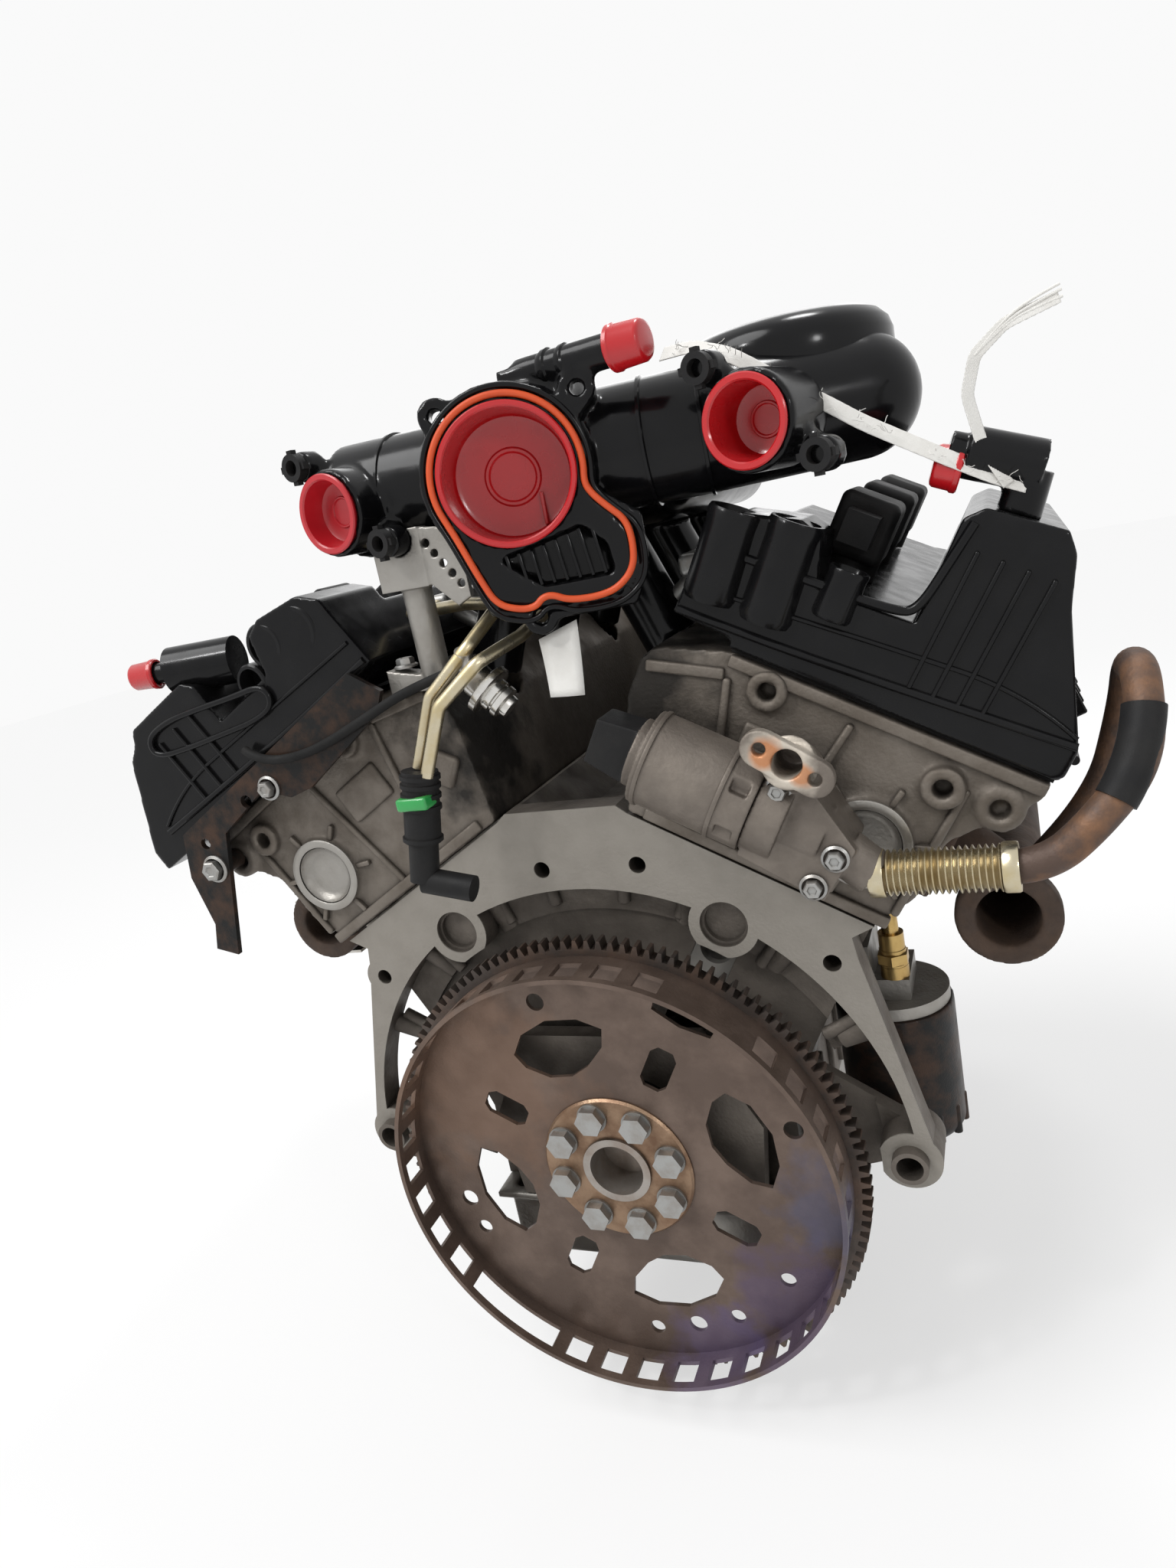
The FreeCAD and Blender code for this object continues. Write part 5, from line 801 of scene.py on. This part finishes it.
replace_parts(push_cap("cap_top", (92, -18.9, 492), NIPPLE_AXIS, 11.6, 20), "breather_caps")
push_cap("cap_left", (-273, -8.6, 366), (-20, -4.7, 0), 10, 19)
push_cap("cap_elbow", (251, 13.6, 400), (-14, -1, 5.3), 11.6, 14)

# ---- blank tag ----------------------------------------------------------------------------------
# A plain paper tag, stuck under the flange and curled a little by its own stiffness.
white_strap = aged_and_shaded_finish(
    "white_strap", (.72, .71, .68), (.60, .58, .54), (.35, .32, .28), mottle=(60, .4), hollow_shade_and_dirt=.4,
    grain=(1200, .3), roughness=(.7, .85))


def sheet_faces(rows, columns):
    """The quads of a sheet whose points stand in rows of equal length."""
    corner = np.arange(rows * columns).reshape(rows, columns)
    quads = [corner[:-1, :-1], corner[:-1, 1:], corner[1:, 1:], corner[1:, :-1]]
    return np.stack(quads, axis=-1).reshape(-1, 4)


TAG_ROWS, TAG_COLUMNS = 9, 5
down = np.linspace(0, 1, TAG_ROWS)[:, None, None]
over = np.linspace(0, 1, TAG_COLUMNS)[None, :, None]
left_edge = np.array((22, -25, 352)) + down * (2, 0, -33)
right_edge = np.array((47, -25, 360)) + down * (-2, 0, -42)
curl = -4 * down ** 2 - .8 * np.sin(.8 * (TAG_COLUMNS - 1) * over)
tag_points = left_edge + (right_edge - left_edge) * over + curl * (0, 1, 0)
tag = add_mesh("blank_tag", tag_points.reshape(-1, 3), sheet_faces(TAG_ROWS, TAG_COLUMNS),
               white_strap)
tag.modifiers.new("card", "SOLIDIFY").thickness = .4 * MM

# ---- exhaust gas valve and its motor ------------------------------------------------------------
# A die-cast motor on a pale flange, stained by heat, held by three bolts. Its plug is black with
# brass pins. The pintle inside opens a passage to the pipe.
motor_cast = aged_and_shaded_finish(
    "motor_cast", (.15, .128, .108), (.22, .19, .16), (.04, .03, .025), mottle=(40, .7), hollow_shade_and_dirt=.7,
    grain=(450, .5), roughness=(.45, .65), metallic=.5)
egr_flange = aged_and_shaded_finish(
    "egr_flange", (.55, .50, .43), (.46, .20, .06), (.14, .08, .04), mottle=(70, .75), hollow_shade_and_dirt=.6,
    grain=(500, .5), roughness=(.5, .75), metallic=.35)
dress(motor_cast, "egr_motor")
dress(egr_flange, "egr_valve_body")
dress(machined, "egr_pintle")
egr_body = spotted("egr_body", motor_cast, [
    ((.52, .47, .40), (158.5, -61, 275.8), 21, 1), ((.46, .17, .05), (150, -61, 282), 9, .85),
    ((.46, .17, .05), (166, -61, 270), 8, .8)])
recast("egr_valve_body", .9, egr_body, relax=4, keep=.5)
MOTOR_CENTRE = np.array((103, -32, 264.5))
MOTOR_AXIS, MOTOR_UP = np.array((.866, 0, -.5)), np.array((.5, 0, .866))
PLUG_END = -38
motor = recast("egr_motor", .8, motor_cast, relax=3, keep=.5)
motor.data.materials.append(matt_black)
for face in motor.data.polygons:
    if (np.array(face.center) / MM - MOTOR_CENTRE) @ MOTOR_AXIS < PLUG_END:
        face.material_index = 1


def on_motor(along, across, up):
    """A point measured along the motor's axis, towards the front and square to both."""
    return MOTOR_CENTRE + MOTOR_AXIS * along + np.array((0, 1, 0)) * across + MOTOR_UP * up


pins = [lathe([(0, 1), (9, 1), (10, .5), (10, .01)], on_motor(-49, 0, up), -MOTOR_AXIS, 10)
        for up in (-7, -3.5, 0, 3.5, 7)]
add_mesh("egr_pins", *merged(pins), brass)
MOTOR_RING = [(-1.5, 26.5), (-1.2, 27.9), (0, 28.3), (1.2, 27.9), (1.5, 26.5)]
rings = [lathe(MOTOR_RING, on_motor(spot, 0, 0), MOTOR_AXIS, 64) for spot in (-28, 16)]
add_mesh("egr_motor_rings", *merged(rings), motor_cast)
motor_bolts = [hex_bolt(on_motor(along, -14.5, up), (0, -1, 0), 9, 6, 7.5)
               for along, up in ((43, 18), (84, -4), (80, -24))]
add_mesh("egr_bolts", *merged(motor_bolts), bolt)

# ---- bellows, exhaust pipe and sleeve -----------------------------------------------------------
# A thin bellows plated with yellow zinc, between collars, takes up the heat's movement. A rusted
# steel pipe goes on from it to the exhaust manifold, with a black sleeve over the bend.
gold_zinc = aged_and_shaded_finish(
    "gold_zinc", (.56, .50, .36), (.50, .40, .20), (.16, .10, .05), mottle=(60, .7), hollow_shade_and_dirt=.6,
    grain=(900, .1), roughness=(.22, .42), metallic=.95)
rusty_pipe = aged_and_shaded_finish(
    "rusty_pipe", (.085, .055, .042), (.22, .11, .055), (.02, .015, .012), mottle=(45, .8), hollow_shade_and_dirt=.6,
    grain=(500, .5), roughness=(.5, .75), metallic=.4)
dress(gold_zinc, "egr_bellows")
dress(rusty_pipe, "egr_pipe")
BELLOWS_FROM, BELLOWS_TO = np.array((190., -32, 204)), np.array((258., -34, 205))
BELLOWS_LENGTH = np.linalg.norm(BELLOWS_TO - BELLOWS_FROM)
BELLOWS_AXIS = BELLOWS_TO - BELLOWS_FROM
COILS, STEPS_A_COIL, COIL_RADIUS, COIL_DEPTH, END_RADIUS = 21, 10, 11.3, 1.15, 9.6
share = np.linspace(0, 1, COILS * STEPS_A_COIL + 1)
waves = COIL_RADIUS + COIL_DEPTH * np.cos(2 * np.pi * COILS * share + np.pi)
profile = [(-3, END_RADIUS), *zip(BELLOWS_LENGTH * share, waves), (BELLOWS_LENGTH + .2, END_RADIUS)]
bellows = add_mesh("bellows", *lathe(profile, BELLOWS_FROM, BELLOWS_AXIS, 48), gold_zinc)
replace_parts(bellows, "egr_bellows")
COLLAR = [(-4, 9.2), (-4, 12.6), (-3, 13.1), (3, 13.1), (4, 12.6), (4, 9.2)]
collars = [lathe(COLLAR, spot, BELLOWS_AXIS, 48)
           for spot in (BELLOWS_FROM + BELLOWS_AXIS * .03, BELLOWS_TO)]
add_mesh("bellows_collars", *merged(collars), gold_zinc)
PIPE_ROUTE = [(258.2, -34, 205), (275, -34.5, 205.3), (298, -34, 226), (322, -22, 252),
              (324, -4, 290), (322, 24, 292), (320, 46, 262), (306, 60, 206), (275, 71, 170)]
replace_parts(tube("exhaust_return_pipe", PIPE_ROUTE, 9, rusty_pipe, sides=10), "egr_pipe")
SLEEVE_ROUTE = [(307, -30, 235.5), (320, -22.5, 254), (323.2, -11, 276)]
tube("pipe_sleeve", SLEEVE_ROUTE, 10.2, matt_black, sides=10)

# ---- hose, fuel pipes and damper ----------------------------------------------------------------
# A thin rubber hose runs from the left bank to the middle. The fuel pipes are plated steel with a quick
# connector and its green lock, and a bright grooved damper evens the pump's pulses.
bright = aged_and_shaded_finish(
    "bright", (.70, .69, .66), (.52, .49, .44), (.16, .14, .12), mottle=(60, .5), hollow_shade_and_dirt=.5,
    grain=(900, .08), roughness=(.16, .34), metallic=1)
green_tab = aged_and_shaded_finish(
    "green_tab", (.02, .32, .07), (.015, .24, .05), (.20, .004, .005), mottle=(30, .4), hollow_shade_and_dirt=.35,
    grain=(1500, .05), roughness=(.22, .34), coat=.35)
dress(rubber, "vacuum_hose")
dress(gold_zinc, "fuel_feed_tubes")
dress(matt_black, "quick_connector")
dress(bright, "pulse_damper")
HOSE_ROUTE = [(-204, -25, 309), (-190, -29.4, 300), (-150, -29.4, 302), (-102, -29.4, 320.4),
              (-69.8, -29.4, 333.9), (-38, -29.4, 341)]
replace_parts(tube("hose", HOSE_ROUTE, 3, rubber), "vacuum_hose")
DAMPER_AXIS = np.array((23.7, 0, -25.2))
DAMPER_LENGTH = np.linalg.norm(DAMPER_AXIS)
DAMPER = [(0, .01), (0, 8.5), (1, 10), (4, 10.4), (4.8, 9), (6, 9), (6.8, 10.4), (13, 10.4),
          (14, 15), (14.6, 16), (18.6, 16), (19.4, 15), (20, 10.4), (24, 10.4), (24.6, 9),
          (25.6, 9), (26.4, 10.4), (30, 10.4), (31, 7), (34, 6.8), (DAMPER_LENGTH, 6.4),
          (DAMPER_LENGTH, .01)]
damper = add_mesh("grooved_damper", *lathe(DAMPER, (-30.5, -20, 339), DAMPER_AXIS, 64), bright)
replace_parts(damper, "pulse_damper")
tube("damper_neck", [(-28, -22, 336), (-26, -30, 343), (-22, -34.5, 353)], 5.4, bright)
CONNECTOR_TOP, CONNECTOR_AXIS = np.array((-60, -49, 289.)), np.array((-7, -3, -43.))
CONNECTOR_RING = [(-1.6, 10.4), (-1.2, 12.2), (1.2, 12.2), (1.6, 10.4)]
rings = [lathe(CONNECTOR_RING, CONNECTOR_TOP + CONNECTOR_AXIS * share, CONNECTOR_AXIS, 40)
         for share in (.08, .2, .34, .5, .95)]
add_mesh("connector_rings", *merged(rings), matt_black)
add_mesh("lock_tab", *rounded_box((-73, -63.5, 268), (-52, -47, 276), 2), green_tab)

# ---- lifting bracket ----------------------------------------------------------------------------
# A bent steel plate in black paint, with rust showing through, bolted to the left head. Two
# smaller bolts stand upright nearer the middle.
dress(black_paint, "lifting_bracket")
hardware = [hex_bolt((-191.5, -26.2, 282), (0, -1, 0), 10, 6.5, 8.5),
            hex_bolt((-256, -26.2, 228), (0, -1, 0), 13, 7, 10),
            hex_bolt((-80, -5, 345), (0, 0, 1), 10, 6, 7.5),
            hex_bolt((-62, -5, 341), (0, 0, 1), 10, 6, 7.5)]
add_mesh("bracket_bolts", *merged(hardware), bolt)

# ---- packing strap ------------------------------------------------------------------------------
# A woven white polyester strap, pulled tight over the manifold for transport. Its edges are
# frayed, and its loose end stands up stiffly and splits into threads.
dress(white_strap, "packing_strap")
TIGHT_ROUTE = [(101, 40, 491), (122, 22, 489), (144.5, 8, 479.5), (172, 2, 458.5), (192, 0, 444),
               (208, 0, 431.5), (242.4, 2, 409), (266.4, 5, 394), (280.4, 8, 387)]
LOOSE_ROUTE = [(272, 5, 389), (262, 4, 409), (257, 3, 434), (262, 3, 451), (276, 3, 462),
               (300, 3, 468)]
STRAP_FACES = (.35, -.9, .25)
STRAP_STEPS, WARP_ENDS = 160, 12


def resampled(points, count):
    """Places shared out evenly between the points, then eased: each moves to a quarter of the one
    before, half of itself and a quarter of the one after, over and over."""
    points = np.array(points, float)
    knots = np.linspace(0, 1, len(points))
    fine = np.linspace(0, 1, count)
    smooth = np.column_stack([np.interp(fine, knots, points[:, k]) for k in range(3)])
    for _ in range(count // 6):
        smooth[1:-1] = (smooth[:-2] + smooth[1:-1] * 2 + smooth[2:]) / 4
    return smooth


def woven(route, width, name):
    """A ribbon along a route: each point is the line plus its width times the share across, plus
    a small lift, .35 and .12 times the sine of the step, that changes sign from thread to thread."""
    line = resampled(route, STRAP_STEPS)
    ahead = np.vstack([line[1:], line[-1:]]) - np.vstack([line[:1], line[:-1]])
    ahead /= np.linalg.norm(ahead, axis=1, keepdims=True)
    side = np.cross(ahead, STRAP_FACES)
    side /= np.linalg.norm(side, axis=1, keepdims=True)
    face = np.cross(side, ahead)
    thread = np.arange(WARP_ENDS + 1)
    share = thread / WARP_ENDS - .5
    lift = .35 + .12 * np.sin(np.arange(STRAP_STEPS)[:, None] * 1.5 + thread % 2 * np.pi)
    points = (line[:, None] + side[:, None] * width * share[None, :, None]
              + face[:, None] * lift[..., None])
    faces = sheet_faces(STRAP_STEPS, WARP_ENDS + 1)
    made = add_mesh(name, points.reshape(-1, 3), faces, white_strap)
    made.modifiers.new("thick", "SOLIDIFY").thickness = .5 * MM
    return made


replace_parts(woven(TIGHT_ROUTE, 8, "strap_tight"), "packing_strap")
woven(LOOSE_ROUTE, 6, "strap_loose")
for k, (dx, dz) in enumerate(((-2, 2.4), (1, .6), (2.5, -1.6))):
    end_route = [(262, 3, 451), (276 + dx * .3, 3, 463 + dz * .3), (292 + dx, 3, 468 + dz),
                 (301 + dx * .2, 3, 470 + dz * 1.4)]
    tube(f"strap_end_{k}", end_route, .7, white_strap, sides=2)
FIBRES, FIBRE_REACHES = 90, (2.5, 5, 7.5, 9.5)
rng = random.Random(7)
fibres = bpy.data.curves.new("strap_fibres", "CURVE")
fibres.dimensions = "3D"
fibres.bevel_depth = .16 * MM
fibres.bevel_resolution = 1
tight = resampled(TIGHT_ROUTE, 200)
for _ in range(FIBRES):
    spot = tight[rng.randrange(4, 196)]
    hand = rng.choice((-1, 1))
    away = np.array((rng.uniform(-.6, .6), hand, rng.uniform(-.3, .6)))
    add_run(fibres, [spot + away * reach + np.array((rng.uniform(-.8, .8), 0, rng.uniform(-.8, .8)))
                     for reach in FIBRE_REACHES])
fibres.materials.append(white_strap)
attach(placed("strap_fibres", fibres), "engine")

# ---- camera, light and floor --------------------------------------------------------------------
# The camera stands off the flexplate's end, to the right and above the crank. A wide soft sun
# comes from the upper left, four lamps give the metal its lights, and floor and world look white.
lens = bpy.data.cameras.new("camera")
lens.sensor_fit = "VERTICAL"
lens.sensor_height = 36
lens.lens = 23.73
lens.clip_start = 0.02
camera = placed("camera", lens)
CAMERA_PLACE = (.2688, -.5580, .4129)
RIGHT, UP, BACK = (.9171, .3511, -.1887), (.0810, .2993, .9507), (.3903, -.8872, .2461)
facing = Matrix((RIGHT, UP, BACK)).transposed().to_4x4()
camera.matrix_world = Matrix.Translation(CAMERA_PLACE) @ facing
bpy.context.scene.camera = camera


def area_light(name, spot, target, size, power):
    """A round lamp at a spot in metres, turned to face its target."""
    lamp = bpy.data.lights.new(name, "AREA")
    lamp.shape = "DISK"
    lamp.size = size
    lamp.energy = power
    holder = placed(name, lamp)
    holder.location = spot
    holder.rotation_euler = (Vector(target) - Vector(spot)).to_track_quat("-Z", "Y").to_euler()


SUN_DIRECTION = (.62, .55, -1.25)
sun = bpy.data.lights.new("sun", "SUN")
sun.energy = 2.0
sun.angle = math.radians(35)
sun_holder = placed("sun", sun)
sun_holder.rotation_euler = Vector(SUN_DIRECTION).to_track_quat("-Z", "Y").to_euler()
area_light("key", (-.7, -1.1, 1.5), (0, 0, .25), .16, 6)
area_light("fill", (1.3, -1.1, .9), (0, 0, .2), .2, 3)
area_light("top", (.3, .5, 1.7), (0, .1, .3), .3, 6)
area_light("back", (-.4, 1.6, 1.0), (0, .2, .15), 1.2, 5)


def seen_by_eye(tree):
    """One for camera, mirror and see-through rays, none for the rays that light the object."""
    rays = tree.nodes.new("ShaderNodeLightPath")
    seen = rays.outputs["Is Camera Ray"]
    for ray in ("Is Glossy Ray", "Is Transmission Ray"):
        seen = reckon(tree, "MAXIMUM", seen, rays.outputs[ray])
    return seen


def mixed_surface(tree, factor, first, second, target):
    """Feeds an output with the first shader where the factor is 0 and the second where it is 1."""
    blend = tree.nodes.new("ShaderNodeMixShader")
    for spot, source in enumerate((factor, first, second)):
        tree.links.new(source, blend.inputs[spot])
    tree.links.new(blend.outputs[0], target.inputs["Surface"])


BACKDROP_WHITE = (.955, .955, .955, 1)
world = bpy.data.worlds.new("studio")
bpy.context.scene.world = world
world.use_nodes = True
sky = world.node_tree
plain = sky.nodes["Background"]
plain.inputs["Color"].default_value = (.94, .94, .94, 1)
plain.inputs["Strength"].default_value = .5
white = sky.nodes.new("ShaderNodeBackground")
white.inputs["Color"].default_value = BACKDROP_WHITE
mixed_surface(sky, seen_by_eye(sky), plain.outputs[0], white.outputs[0],
              sky.nodes["World Output"])

FLOOR_REACH, FLOOR_OWN_WHITE = 6, .62
floor_z = cad_box[0][2]
floor_corners = [(x * FLOOR_REACH, y * FLOOR_REACH, floor_z)
                 for x, y in ((-1, -1), (1, -1), (1, 1), (-1, 1))]
floor_mesh = bpy.data.meshes.new("floor")
floor_mesh.from_pydata(floor_corners, [], [(0, 1, 2, 3)])
floor = placed("floor", floor_mesh)
pale = bpy.data.materials.new("pale_floor")
pale.use_nodes = True
paint = pale.node_tree
matt = paint.nodes["Principled BSDF"]
matt.inputs["Base Color"].default_value = (.9, .9, .9, 1)
matt.inputs["Roughness"].default_value = 1
matt.inputs["Specular IOR Level"].default_value = 0
own_white = paint.nodes.new("ShaderNodeEmission")
own_white.inputs["Color"].default_value = BACKDROP_WHITE
share_seen = reckon(paint, "MULTIPLY", seen_by_eye(paint), FLOOR_OWN_WHITE)
mixed_surface(paint, share_seen, matt.outputs[0], own_white.outputs[0],
              paint.nodes["Material Output"])
floor_mesh.materials.append(pale)
bpy.context.scene.view_settings.view_transform = "Standard"
